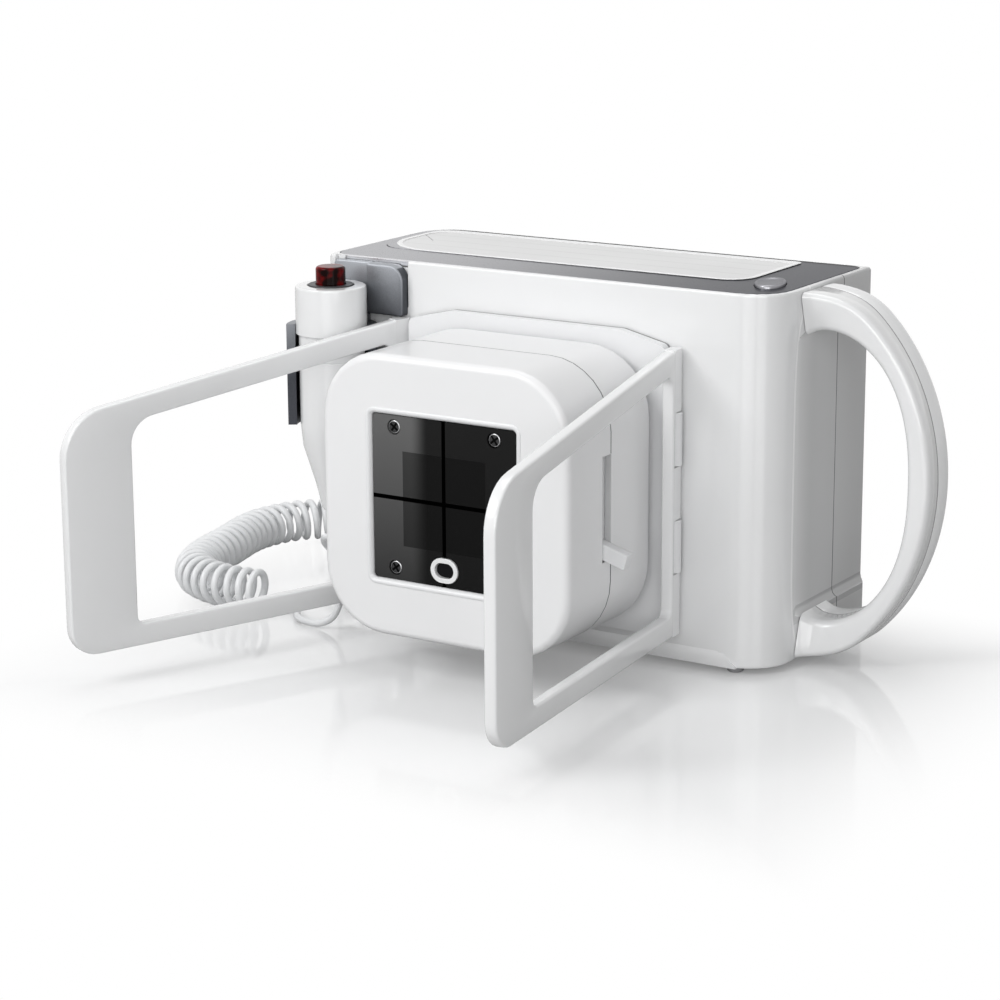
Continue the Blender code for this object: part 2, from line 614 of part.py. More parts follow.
battery_x = -HALF + WALL + GAP + BATTERY_WIDTH / 2 + SOCKET_RADIUS
battery_plan = square(BATTERY_WIDTH, BATTERY_DEPTH, 0.003, (battery_x, BODY_DEPTH / 2 - 0.002), 3)
battery = slab("battery_pack", [battery_plan], floor_z, floor_z + BATTERY_HEIGHT)
finish(as_piece(battery), *DARK)
board = as_piece(box("control_board", (BOARD_X, (BODY_DEPTH - BOARD_LENGTH) / 2, floor_z),
                     (BOARD_X + BOARD_THICK, (BODY_DEPTH + BOARD_LENGTH) / 2, floor_z + BOARD_HEIGHT)))
for number, height in enumerate((0.022, 0.058, 0.088)):
    block = as_cutter(box(f"board_block_{number}", (BOARD_X + BOARD_THICK / 2, 0.026, floor_z + height),
                          (BOARD_X + 0.012, 0.050, floor_z + height + 0.018)))
    boolean(board, block, "UNION")
finish(board, (0.02, 0.16, 0.07), 0.5)

# Collimator mount plate: knuckles at both ends carry the spacer frames
knuckle = (HINGE_HIGH - HINGE_LOW) / KNUCKLES
plate_half = HINGE_X - KNUCKLE_RADIUS - HINGE_PLAY
plate_outline = rounded([(-plate_half, PLATE_LOW), (plate_half, PLATE_LOW), (plate_half, PLATE_HIGH),
                         (PLATE_CROWN_HALF, PLATE_CROWN), (-PLATE_CROWN_HALF, PLATE_CROWN),
                         (-plate_half, PLATE_HIGH)],
                        (0.003, 0.003, 0.003, 0.006, 0.006, 0.003), 3)
mount = as_piece(slab("collimator_mount", [plate_outline, circle(BEAM_PORT, (0, BEAM_Z))],
                      GAP, GAP + PLATE_THICK, FLAT_XZ))
for side in (-1, 1):
    for index in range(1, KNUCKLES, 2):
        low = HINGE_LOW + index * knuckle + HINGE_PLAY / 2
        high = HINGE_LOW + (index + 1) * knuckle - HINGE_PLAY / 2
        ends = sorted((side * (plate_half - 0.002), side * HINGE_X))
        lug = box(f"mount_lug_{side}_{index}", (ends[0], -PLATE_THICK - GAP / 2, low),
                  (ends[1], HINGE_Y + KNUCKLE_RADIUS / 2, high))
        barrel = rod(f"mount_knuckle_{side}_{index}", KNUCKLE_RADIUS, (side * HINGE_X, HINGE_Y, low),
                     (side * HINGE_X, HINGE_Y, high), 16)
        boolean(mount, as_cutter(lug), "UNION")
        boolean(mount, as_cutter(barrel), "UNION")
    bore = rod(f"mount_bore_{side}", PIN_RADIUS + BORE_PLAY, (side * HINGE_X, HINGE_Y, 0),
               (side * HINGE_X, HINGE_Y, BODY_TOP + 0.05), 12)
    boolean(mount, as_cutter(bore))
finish(mount, *WHITE_SATIN)


def frame_outline():
    """The spacer frame from the side, u along its length from the hinge: a tapering plate with an opening."""
    def top(u):
        return FRAME_TOP_BACK + (FRAME_TOP_FRONT - FRAME_TOP_BACK) * u / FRAME_LENGTH
    def base(u):
        return FRAME_BASE_BACK + (FRAME_BASE_FRONT - FRAME_BASE_BACK) * u / FRAME_LENGTH
    near = FRAME_BACK_BAR
    far = FRAME_LENGTH - FRAME_FRONT_BAR
    outside = rounded([(0, base(0)), (FRAME_LENGTH, base(FRAME_LENGTH)),
                       (FRAME_LENGTH, top(FRAME_LENGTH)), (0, top(0))],
                      (FRAME_BACK_CORNER, FRAME_CORNER, FRAME_CORNER, FRAME_BACK_CORNER), 7)
    near_corner = FRAME_OPEN_CORNER * 0.6
    opening = rounded([(near, base(near) + FRAME_BASE_BAR), (far, base(far) + FRAME_BASE_BAR),
                       (far, top(far) - FRAME_TOP_BAR), (near, top(near) - FRAME_TOP_BAR)],
                      (near_corner, FRAME_OPEN_CORNER, FRAME_OPEN_CORNER, near_corner), 6)
    return [outside, opening]


for name, side, splay in (("right", 1, SPLAY_RIGHT), ("left", -1, SPLAY_LEFT)):
    hinge = bpy.data.objects.new(f"hinge_axis_{name}", None)
    unit.objects.link(hinge)
    hinge.parent = root
    hinge.location = (side * HINGE_X, HINGE_Y, 0)
    hinge.rotation_euler = (0, 0, side * splay)
    spacer = slab(f"spacer_frame_{name}", frame_outline(), -FRAME_THICK / 2, FRAME_THICK / 2, FLAT_YZ)
    as_piece(spacer, (0, 0, 0), hinge)
    bevel(spacer, FRAME_EDGE, 1)
    for index in range(KNUCKLES):
        low = HINGE_LOW + index * knuckle
        high = low + knuckle
        mine = index % 2 == 0
        radius = KNUCKLE_RADIUS if mine else KNUCKLE_RADIUS + HINGE_PLAY
        reach = -HINGE_PLAY / 2 if mine else HINGE_PLAY / 2
        barrel = rod(f"spacer_knuckle_{name}_{index}", radius, (0, 0, low - reach), (0, 0, high + reach), 16)
        as_cutter(barrel).parent = hinge
        boolean(spacer, barrel, "UNION" if mine else "DIFFERENCE")
    bore = as_cutter(rod(f"spacer_bore_{name}", PIN_RADIUS + BORE_PLAY, (0, 0, 0), (0, 0, BODY_TOP + 0.05), 12))
    bore.parent = hinge
    boolean(spacer, bore)
    finish(spacer, *WHITE_GLOSS)
    pin = turned(f"hinge_pin_{name}", [(0, HINGE_HIGH), (PIN_RADIUS - 0.0003, HINGE_HIGH),
                                       (PIN_RADIUS, HINGE_HIGH - 0.0003), (PIN_RADIUS, HINGE_LOW),
                                       (0, HINGE_LOW)], 14)
    finish(as_piece(pin, (side * HINGE_X, HINGE_Y, 0)), *BARE_STEEL)

# Collimator covers: square boxes with round corners that part at the lever's slot
cover_outline = square(COLL_SIZE, COLL_SIZE, COLL_CORNER, (0, BEAM_Z), 8)
space_size = COLL_SIZE - 2 * COLL_WALL
space_outline = square(space_size, space_size, COLL_CORNER - COLL_WALL, (0, BEAM_Z), 8)
collar_back = PLATE_THICK + 2 * GAP
collar = slab("collimator_collar", [square(COLLAR_SIZE, COLLAR_SIZE, COLL_CORNER - 0.003, (0, BEAM_Z), 6),
                                    circle(BEAM_PORT, (0, BEAM_Z))],
              collar_back, collar_back + COLLAR_THICK, FLAT_XZ)
finish(as_piece(collar), *GREY)

rear_cover = slab("collimator_rear_cover", [cover_outline], -COLL_BACK_Y, -COLL_SPLIT_Y + 2 * COLL_ROUND,
                  FLAT_XZ)
as_piece(rear_cover)
bevel(rear_cover, COLL_ROUND, 2)
boolean(rear_cover, as_cutter(box("rear_cover_parting", (-0.08, COLL_SPLIT_Y - 0.03, -0.02),
                                  (0.08, COLL_SPLIT_Y + GAP / 2, 0.16))))
rear_space = slab("rear_cover_space", [space_outline], -COLL_BACK_Y + COLL_WALL, -COLL_SPLIT_Y + 0.01, FLAT_XZ)
boolean(rear_cover, as_cutter(rear_space))
boolean(rear_cover, as_cutter(rod("rear_cover_port", BEAM_PORT, (0, -0.02, BEAM_Z), (0, 0.0, BEAM_Z), 40)))
finish(rear_cover, *WHITE_SATIN)

front_cover = slab("collimator_front_cover", [cover_outline], -COLL_SPLIT_Y - 2 * COLL_ROUND, -COLL_FRONT_Y,
                   FLAT_XZ)
as_piece(front_cover)
bevel(front_cover, COLL_ROUND, 3)
recess_size = WINDOW_SIZE + 2 * WINDOW_MARGIN
slot_front = RING_FRONT_Y - (LEVER_SLOT_WIDTH - RING_THICK) / 2
front_tools = [
    box("front_cover_parting", (-0.08, COLL_SPLIT_Y - GAP / 2, -0.02), (0.08, 0.02, 0.16)),
    slab("front_cover_space", [space_outline], -COLL_SPLIT_Y - 0.01, -COLL_FRONT_Y - COLL_FRONT_WALL, FLAT_XZ),
    slab("window_recess", [square(recess_size, recess_size, 0.0025, (0, BEAM_Z), 3)],
         -LEDGE_Y, -COLL_FRONT_Y + 0.01, FLAT_XZ),
    slab("window_opening", [square(OPENING_WIDTH, OPENING_HEIGHT, 0.003, (0, BEAM_Z), 3)],
         -COLL_SPLIT_Y, -COLL_FRONT_Y + 0.01, FLAT_XZ),
    box("lever_slot", (COLL_SIZE / 2 - 0.012, slot_front, BEAM_Z - LEVER_SLOT_HEIGHT / 2),
        (COLL_SIZE / 2 + 0.01, 0.0, BEAM_Z + LEVER_SLOT_HEIGHT / 2))]
for tool in front_tools:
    boolean(front_cover, as_cutter(tool))

# Window, its screws, and the port set in its lower edge
window_back = LEDGE_Y - GAP
window = as_piece(slab("window", [square(WINDOW_SIZE, WINDOW_SIZE, 0.0015, (0, BEAM_Z), 3)],
                       -window_back, -window_back + WINDOW_THICK, FLAT_XZ))
port_z = BEAM_Z - PORT_DROP


def stadium(width, height, sides=8):
    corners = [(-width / 2, port_z - height / 2), (width / 2, port_z - height / 2),
               (width / 2, port_z + height / 2), (-width / 2, port_z + height / 2)]
    return rounded(corners, height / 2 - 0.00001, sides)


port_way = slab("port_way", [stadium(PORT_WIDTH + 2 * GAP, PORT_HEIGHT + 2 * GAP)], -COLL_SPLIT_Y,
                -COLL_FRONT_Y + 0.01, FLAT_XZ)
boolean(window, as_cutter(port_way))
head_seat = window_back - WINDOW_THICK / 2
number = 0
for x in (-SCREW_X, SCREW_X):
    for z in (BEAM_Z - SCREW_Z, BEAM_Z + SCREW_Z):
        number += 1
        sink = rod(f"screw_sink_{number}", SCREW_HEAD_RADIUS + GAP, (x, head_seat, z), (x, -0.09, z), 16)
        hole = rod(f"screw_hole_{number}", SCREW_SHANK_RADIUS + BORE_PLAY,
                   (x, LEDGE_Y + SCREW_GRIP + GAP, z), (x, -0.09, z), 10)
        boolean(window, as_cutter(sink))
        boolean(window, as_cutter(hole))
        boolean(front_cover, hole)
        length = LEDGE_Y + SCREW_GRIP - head_seat + GAP
        screw = turned(f"window_screw_{number}",
                       [(0, SCREW_HEAD_THICK), (SCREW_HEAD_RADIUS - 0.0003, SCREW_HEAD_THICK),
                        (SCREW_HEAD_RADIUS, SCREW_HEAD_THICK - 0.0003), (SCREW_HEAD_RADIUS, 0),
                        (SCREW_SHANK_RADIUS, 0), (SCREW_SHANK_RADIUS, -length), (0, -length)], 12, TURN_Y)
        finish(as_piece(screw, (x, head_seat - GAP, z)), *BARE_STEEL)
finish(window, (0.02, 0.02, 0.025), 0.05)
finish(front_cover, *WHITE_SATIN)
inner_width, inner_height = PORT_WIDTH - 2 * PORT_RIM, PORT_HEIGHT - 2 * PORT_RIM
bezel = slab("port_bezel", [stadium(PORT_WIDTH, PORT_HEIGHT), stadium(inner_width, inner_height)],
             -window_back, -COLL_FRONT_Y - WINDOW_SUNK + PORT_PROUD, FLAT_XZ)
finish(as_piece(bezel), *WHITE_GLOSS)
lens = slab("port_lens", [stadium(inner_width - 2 * GAP, inner_height - 2 * GAP)],
            -window_back, -window_back + WINDOW_THICK * 0.8, FLAT_XZ)
finish(as_piece(lens), (0.01, 0.01, 0.012), 0.08)

# Aperture plate: its round collar is the cam ring's bearing
plate_size = space_size - 2 * GAP
plate_plan = [square(plate_size, plate_size, COLL_CORNER - COLL_WALL, (0, BEAM_Z), 6),
              square(APERTURE_SIZE, APERTURE_SIZE, 0.001, (0, BEAM_Z), 2)]
aperture = as_piece(slab("aperture_plate", plate_plan, -APERTURE_Y, -APERTURE_Y + APERTURE_THICK, FLAT_XZ))
collar_radius = RING_BORE - BORE_PLAY
boolean(aperture, as_cutter(slab("ring_bearing", [circle(collar_radius, (0, BEAM_Z), 40),
                                                  circle(collar_radius - APERTURE_COLLAR, (0, BEAM_Z), 40)],
                                 -APERTURE_Y + APERTURE_THICK / 2, -RING_FRONT_Y, FLAT_XZ)), "UNION")
finish(aperture, *DARK)


def cam_slot(middle):
    """A slot whose radius falls evenly with angle, so a blade moves in step with the lever."""
    outer, inner = [], []
    half_width = SHUTTER_PIN_RADIUS + BORE_PLAY
    for share in np.linspace(-0.09, 1.13, 9):
        angle = middle - share * LEVER_SWING
        radius = SHUTTER_PIN_AT - CAM_RATE * share * LEVER_SWING
        outer.append(((radius + half_width) * math.cos(angle), (radius + half_width) * math.sin(angle)))
        inner.append(((radius - half_width) * math.cos(angle), (radius - half_width) * math.sin(angle)))
    return outer + inner[::-1]


ring_plan = [circle(RING_RADIUS, sides=40), circle(RING_BORE, sides=40)]
ring_plan += [cam_slot(math.radians(turn)) for turn in (0, 90, 180, 270)]
ring = as_piece(slab("cam_ring", ring_plan, -RING_BACK_Y, -RING_FRONT_Y, FLAT_XZ), (0, 0, BEAM_Z))
finish(ring, *BARE_STEEL)
shield = np.linspace(-LEVER_SHIELD_HALF, LEVER_SHIELD_HALF, 15)
shield_inner = RING_RADIUS + GAP
bar_half = math.asin(LEVER_WIDTH / 2 / LEVER_SHIELD)
bar_root = LEVER_SHIELD * math.cos(bar_half)
below = [t for t in shield if t < -bar_half * 1.3]
above = [t for t in shield if t > bar_half * 1.3]
lever_outline = [(LEVER_SHIELD * math.cos(t), LEVER_SHIELD * math.sin(t)) for t in below]
lever_outline += [(bar_root, -LEVER_WIDTH / 2), (LEVER_REACH, -LEVER_WIDTH / 2),
                  (LEVER_REACH, LEVER_WIDTH / 2), (bar_root, LEVER_WIDTH / 2)]
lever_outline += [(LEVER_SHIELD * math.cos(t), LEVER_SHIELD * math.sin(t)) for t in above]
lever_outline += [(shield_inner * math.cos(t), shield_inner * math.sin(t)) for t in shield[::-1]]
lever = slab("field_lever", [lever_outline], -RING_BACK_Y, -RING_FRONT_Y, FLAT_XZ)
as_piece(lever, (0, 0, BEAM_Z))
lever.rotation_euler = (0, -LEVER_REST, 0)
finish(lever, *WHITE_SATIN)

for name, turn, layer in (("right", 0, 0), ("top", 90, 1), ("left", 180, 0), ("bottom", 270, 1)):
    back = -RING_FRONT_Y + GAP + layer * (SHUTTER_THICK + GAP)
    blade_plan = square(SHUTTER_LENGTH, SHUTTER_WIDTH, 0.002, (SHUTTER_OPEN + SHUTTER_LENGTH / 2, 0), 2)
    blade = slab(f"shutter_{name}", [blade_plan], back, back + SHUTTER_THICK, FLAT_XZ)
    blade.data.transform(Matrix.Rotation(math.radians(-turn), 4, "Y"))
    reach = Matrix.Rotation(math.radians(-turn), 3, "Y") @ Vector((SHUTTER_PIN_AT, 0, 0))
    follower = rod(f"shutter_pin_{name}", SHUTTER_PIN_RADIUS, reach + Vector((0, -back - SHUTTER_THICK / 2, 0)),
                   reach + Vector((0, RING_FRONT_Y + RING_THICK * 0.8, 0)), 12)
    as_cutter(follower).location = (0, 0, BEAM_Z)
    as_piece(blade, (0, 0, BEAM_Z))
    boolean(blade, follower, "UNION")
    finish(blade, *DARK)

# Mirror across the beam at 45 degrees, and the lamp above it
mirror_front = APERTURE_Y + GAP
mirror_back = COLL_BACK_Y - COLL_WALL - GAP
mirror_length = (mirror_back - mirror_front) * math.sqrt(2) - MIRROR_THICK
mirror = box("mirror", (-MIRROR_WIDTH / 2, -mirror_length / 2, -MIRROR_THICK / 2),
             (MIRROR_WIDTH / 2, mirror_length / 2, MIRROR_THICK / 2))
as_piece(mirror, (0, (mirror_front + mirror_back) / 2, BEAM_Z))
mirror.rotation_euler = (math.radians(45), 0, 0)
finish(mirror, (0.8, 0.8, 0.82), 0.03, 1.0)
lamp_top = BEAM_Z + space_size / 2 - GAP
lamp_y = (mirror_front + mirror_back) / 2
lamp = as_piece(box("lamp", (-LAMP_SIZE / 2, lamp_y - LAMP_SIZE / 2, lamp_top - LAMP_DROP),
                    (LAMP_SIZE / 2, lamp_y + LAMP_SIZE / 2, lamp_top)))
boolean(lamp, as_cutter(rod("lamp_dome", LAMP_SIZE * 0.28, (0, lamp_y, lamp_top - LAMP_DROP / 2),
                            (0, lamp_y, lamp_top - LAMP_DROP * 1.25), 20)), "UNION")
finish(lamp, (0.75, 0.74, 0.68), 0.3)

# Switch cradle: a plate let into the housing, with a spring clip that wraps the switch
clip_inner = SWITCH_RADIUS + CLIP_PLAY
clip_outer = clip_inner + CLIP_WALL
clip_high = SWITCH_TOP - GAP
wrap = np.linspace(-CLIP_LEFT_WRAP, CLIP_RIGHT_WRAP, 22)
clip_outline = [(clip_outer * math.sin(t), clip_outer * math.cos(t)) for t in wrap]
clip_outline += [(clip_inner * math.sin(t), clip_inner * math.cos(t)) for t in wrap[::-1]]
cradle = slab("switch_cradle", [cradle_outline(0.0, CRADLE_HIGH)], -CRADLE_SUNK, CRADLE_FRONT, FLAT_XZ)
as_piece(cradle)
clip = as_cutter(slab("cradle_clip", [clip_outline], CLIP_LOW, clip_high))
clip.location = (SWITCH_X, SWITCH_Y, 0)
clip_limit = as_cutter(box("cradle_clip_limit", (-0.2, CRADLE_SUNK, 0.0), (0.0, 0.02, 0.2)))
boolean(cradle, clip, "UNION")
boolean(cradle, clip_limit)
boolean(cradle, as_cutter(rod("switch_way", clip_inner, (SWITCH_X, SWITCH_Y, CLIP_LOW - 0.002),
                              (SWITCH_X, SWITCH_Y, clip_high + 0.001), 44)))
finish(cradle, *STEEL_BLUE)

# Hand switch: a turned grip, a cap that rests on the clip, and a sprung button in a black collar
grip = turned("switch_body", [(0, SWITCH_TOP), (SWITCH_RADIUS, SWITCH_TOP),
                              (SWITCH_RADIUS, SWITCH_SEAM + SEAM_DEPTH),
                              (SWITCH_RADIUS - SEAM_DEPTH, SWITCH_SEAM),
                              (SWITCH_RADIUS, SWITCH_SEAM - SEAM_DEPTH), (SWITCH_RADIUS, SWITCH_SHOULDER),
                              (SWITCH_RADIUS * 0.93, SWITCH_SHOULDER * 0.62 + SWITCH_WAIST * 0.38),
                              (SWITCH_WAIST_RADIUS, SWITCH_WAIST),
                              (SWITCH_TIP_RADIUS + 0.0006, SWITCH_TIP + 0.001),
                              (SWITCH_TIP_RADIUS, SWITCH_TIP), (0, SWITCH_TIP)], 36)
finish(as_piece(grip, (SWITCH_X, SWITCH_Y, 0)), *WHITE_GLOSS)
cap_low = SWITCH_TOP + GAP
cap_high = cap_low + CAP_HEIGHT
cap = turned("switch_cap", [(COLLAR_RADIUS + GAP, cap_high), (CAP_RADIUS - CAP_ROUND, cap_high),
                            (CAP_RADIUS - CAP_ROUND * 0.3, cap_high - CAP_ROUND * 0.3),
                            (CAP_RADIUS, cap_high - CAP_ROUND), (CAP_RADIUS, cap_low),
                            (COLLAR_RADIUS + GAP, cap_low)], 36)
finish(as_piece(cap, (SWITCH_X, SWITCH_Y, 0)), *WHITE_GLOSS)
ring_bore = TRIGGER_RADIUS + BORE_PLAY
collar_top = cap_high + COLLAR_PROUD
black_ring = turned("switch_collar", [(ring_bore, collar_top), (COLLAR_RADIUS - 0.0003, collar_top),
                                      (COLLAR_RADIUS, cap_high), (COLLAR_RADIUS, cap_low),
                                      (ring_bore, cap_low)], 32)
finish(as_piece(black_ring, (SWITCH_X, SWITCH_Y, 0)), *DARK)
trigger = turned("exposure_button", [(0, TRIGGER_PROUD), (TRIGGER_RADIUS - 0.0007, TRIGGER_PROUD),
                                     (TRIGGER_RADIUS, TRIGGER_PROUD - 0.0007),
                                     (TRIGGER_RADIUS, -TRIGGER_INSIDE), (0, -TRIGGER_INSIDE)], 28)
finish(as_piece(trigger, (SWITCH_X, SWITCH_Y, cap_high)), (0.22, 0.005, 0.008), 0.08)
relief_top = SWITCH_TIP - GAP
relief_low = relief_top - RELIEF_LENGTH
relief = turned("switch_strain_relief", [(0, relief_top), (RELIEF_RADIUS, relief_top),
                                         (WIRE / 2 + 0.0006, relief_low), (0, relief_low)], 20)
finish(as_piece(relief, (SWITCH_X, SWITCH_Y, 0)), *WHITE_SATIN)


def smooth_path(points, step):
    """Points an even step apart on a smooth curve through the route's points."""
    points = np.array(points, float)
    padded = np.vstack((2 * points[0] - points[1], points, 2 * points[-1] - points[-2]))
    share = np.linspace(0, 1, 60, endpoint=False)[:, None]
    runs = []
    for a, b, c, d in zip(padded, padded[1:], padded[2:], padded[3:]):
        runs.append(0.5 * (2 * b + (c - a) * share + (2 * a - 5 * b + 4 * c - d) * share ** 2
                           + (3 * b - a - 3 * c + d) * share ** 3))
    dense = np.vstack(runs + [points[-1:]])
    along = np.concatenate(([0], np.cumsum(np.linalg.norm(np.diff(dense, axis=0), axis=1))))
    places = np.linspace(0, along[-1], max(int(round(along[-1] / step)), 2) + 1)
    return np.column_stack([np.interp(places, along, dense[:, axis]) for axis in range(dense.shape[1])])


def wire(name, points, resolution):
    """A round cord along its points."""
    curve = bpy.data.curves.new(name, "CURVE")
    curve.dimensions = "3D"
    curve.bevel_depth = WIRE / 2
    curve.bevel_resolution = resolution
    curve.use_fill_caps = True
    spline = curve.splines.new("POLY")
    spline.points.add(len(points) - 1)
    spline.points.foreach_set("co", np.column_stack((points, np.ones(len(points)))).ravel())
    return finish(as_piece(bpy.data.objects.new(name, curve)), *WHITE_GLOSS)


# Curly cord: a helix on a smooth path, drawn in to the path at both ends
path = smooth_path(COIL_ROUTE, 0.0005)
run = np.concatenate(([0], np.cumsum(np.linalg.norm(np.diff(path, axis=0), axis=1))))
curls = int(round(run[-1] / COIL_PITCH))
stations = np.linspace(0, run[-1], curls * CURL_POINTS + 1)
centre = np.column_stack((np.interp(stations, run, path[:, 0]), np.interp(stations, run, path[:, 1])))
heading = np.gradient(centre, axis=0)
heading /= np.linalg.norm(heading, axis=1)[:, None]
turns = stations / run[-1] * curls
ease = np.clip(np.minimum(turns, curls - turns) / 1.25, 0, 1)
reach = COIL_RADIUS * ease * ease * (3 - 2 * ease)
angle = 2 * math.pi * turns
coil = np.column_stack((centre[:, 0] - heading[:, 1] * reach * np.cos(angle),
                        centre[:, 1] + heading[:, 0] * reach * np.cos(angle), COIL_Z + reach * np.sin(angle)))
near_axis = np.append(heading[0], 0)
far_axis = np.append(heading[-1], 0)
lead_in = near_axis * np.array([[2.4], [1.2]]) * WIRE
lead_out = far_axis * np.array([[1.2], [2.4]]) * WIRE
coil = np.vstack((coil[0] - lead_in, coil, coil[-1] + lead_out))
spread = np.linalg.norm(coil[:, None] - coil[None], axis=2)
apart = np.abs(np.arange(len(coil))[:, None] - np.arange(len(coil))[None]) > CURL_POINTS // 2
self_gap = spread[apart].min() - WIRE
print("curls", curls, "least gap of the curly cord to itself, mm:", round(1000 * self_gap, 2))
wire("cord_coil", coil, 1)

tail_start = coil[0] - near_axis * GAP
tail_end = np.array((SWITCH_X, SWITCH_Y, relief_low - GAP))
drop = np.array((1, 1, relief_low / TAIL_HEIGHT))
tail = smooth_path([tail_start, tail_start - near_axis * WIRE * 1.2, *(np.array(TAIL_ROUTE) * drop),
                    tail_end - (0, 0, 0.0045), tail_end], WIRE)
wire("cord_tail", tail, 2)
plug_end = -HALF - SOCKET_PROUD - GAP - PLUG_LENGTH - GAP
lead_start = coil[-1] + far_axis * GAP
lead_end = np.array((plug_end, SOCKET_Y, SOCKET_Z))
lead = smooth_path([lead_start, lead_start + far_axis * WIRE, *LEAD_ROUTE, lead_end - (0.0045, 0, 0), lead_end],
                   WIRE)
wire("cord_lead", lead, 2)
shaft = SOCKET_RADIUS * 0.7
socket = turned("cord_socket", [(0, SOCKET_PROUD), (SOCKET_RADIUS - 0.0006, SOCKET_PROUD),
                                (SOCKET_RADIUS, SOCKET_PROUD - 0.0006), (SOCKET_RADIUS, GAP), (shaft, GAP),
                                (shaft, -WALL * 2), (0, -WALL * 2)], 24, TURN_X)
finish(as_piece(socket, (-HALF, SOCKET_Y, SOCKET_Z)), *DARK)
plug = turned("cord_plug", [(0, PLUG_LENGTH), (WIRE / 2 + 0.0006, PLUG_LENGTH),
                            (PLUG_RADIUS * 0.72, PLUG_LENGTH * 0.5), (PLUG_RADIUS, PLUG_LENGTH * 0.45),
                            (PLUG_RADIUS, 0), (0, 0)], 20, TURN_X)
finish(as_piece(plug, (-HALF - SOCKET_PROUD - GAP, SOCKET_Y, SOCKET_Z)), *WHITE_SATIN)

# The unit stands centred over the origin, measured without its cord
bpy.context.view_layer.update()
graph = bpy.context.evaluated_depsgraph_get()
corners = []
for piece in unit.objects:
    if piece.type == "MESH" and not piece.name.startswith("cord_"):
        solid = piece.evaluated_get(graph)
        mesh = solid.to_mesh()
        flat = np.empty(len(mesh.vertices) * 3)
        mesh.vertices.foreach_get("co", flat)
        world = np.array(piece.matrix_world)
        spots = flat.reshape(-1, 3) @ world[:3, :3].T + world[:3, 3]
        corners.append((spots.min(axis=0), spots.max(axis=0)))
        solid.to_mesh_clear()
low = np.min([c[0] for c in corners], axis=0)
high = np.max([c[1] for c in corners], axis=0)
root.location = (-(low[0] + high[0]) / 2, -(low[1] + high[1]) / 2, -low[2])
shift = root.location
print("beam axis x and housing front y from the origin, m:", round(shift.x, 6), round(shift.y, 6))
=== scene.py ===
"""Hand-carried X-ray unit on a pale table.

A glossy white housing carries a collimator, two hinged spacer frames and a corded hand switch.
"""
import math

import bmesh
import bpy
import numpy as np
from mathutils import Matrix


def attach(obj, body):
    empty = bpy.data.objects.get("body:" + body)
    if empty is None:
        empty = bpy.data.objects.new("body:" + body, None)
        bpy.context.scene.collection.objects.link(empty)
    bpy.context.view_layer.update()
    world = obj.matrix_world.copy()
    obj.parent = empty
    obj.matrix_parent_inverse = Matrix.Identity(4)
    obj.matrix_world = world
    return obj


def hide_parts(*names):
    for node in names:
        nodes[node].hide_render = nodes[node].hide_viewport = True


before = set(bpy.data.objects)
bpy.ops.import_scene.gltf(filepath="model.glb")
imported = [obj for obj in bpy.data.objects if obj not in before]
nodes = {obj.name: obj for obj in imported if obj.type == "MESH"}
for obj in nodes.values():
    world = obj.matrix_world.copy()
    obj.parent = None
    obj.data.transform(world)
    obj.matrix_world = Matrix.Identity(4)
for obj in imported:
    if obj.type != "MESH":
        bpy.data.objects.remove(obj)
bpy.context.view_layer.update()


# The studio: a camera at the photograph's place, a polished pale table, a soft white surround
# and four large soft lamps. None of it belongs to the unit. Sizes are in metres throughout; the unit's
# pieces are drawn from the beam's axis and the housing's front, which lie here in the shared frame.
BEAM_X, FRONT_Y = -0.014182, 0.034555
camera_data = bpy.data.cameras.new("camera")
camera_data.sensor_width = 36.0
camera_data.lens = 102.6
camera_data.clip_start = 0.01
camera = bpy.data.objects.new("camera", camera_data)
bpy.context.scene.collection.objects.link(camera)
azimuth, pitch, roll = math.radians(32.3), math.radians(14.1), math.radians(0.3)
back = np.array((math.sin(azimuth) * math.cos(pitch), -math.cos(azimuth) * math.cos(pitch), math.sin(pitch)))
right = np.array((math.cos(azimuth), math.sin(azimuth), 0.0))
up = np.cross(back, right)
rolled = np.array(((math.cos(roll), -math.sin(roll), 0), (math.sin(roll), math.cos(roll), 0), (0, 0, 1)))
place = np.eye(4)
place[:3, :3] = (rolled @ (right, up, back)).T
place[:3, 3] = (0.56269 + BEAM_X, -0.91946 + FRONT_Y, 0.32793)
camera.matrix_world = Matrix(place)
bpy.context.scene.camera = camera
bpy.context.scene.view_settings.view_transform = "Standard"


class Value:
    """A socket that Python's operators work on. Each operator adds the Math node it stands for."""

    def __init__(self, socket):
        self.socket = socket
        self.tree = socket.id_data

    def node(self, kind, settings=None, inputs=None, output=0):
        """Any other node: its settings are set first, then its sockets get values or links."""
        made = self.tree.nodes.new("ShaderNode" + kind)
        for key, setting in (settings or {}).items():
            setattr(made, key, setting)
        for key, value in (inputs or {}).items():
            if isinstance(value, Value):
                self.tree.links.new(value.socket, made.inputs[key])
            else:
                made.inputs[key].default_value = value
        return Value(made.outputs[output])

    def maths(self, operation, first, second):
        return self.node("Math", {"operation": operation}, {0: first, 1: second})

    def __add__(self, other):
        return self.maths("ADD", self, other)

    def __sub__(self, other):
        return self.maths("SUBTRACT", self, other)

    def __rsub__(self, other):
        return self.maths("SUBTRACT", other, self)

    def __mul__(self, other):
        return self.maths("MULTIPLY", self, other)

    def __gt__(self, other):
        return self.maths("GREATER_THAN", self, other)

    def __lt__(self, other):
        return self.maths("LESS_THAN", self, other)

    def __abs__(self):
        return self.maths("ABSOLUTE", self, 0.0)

    def into(self, target):
        """Links this value to a shader's socket."""
        self.tree.links.new(self.socket, target)

    __radd__ = __add__
    __rmul__ = __mul__


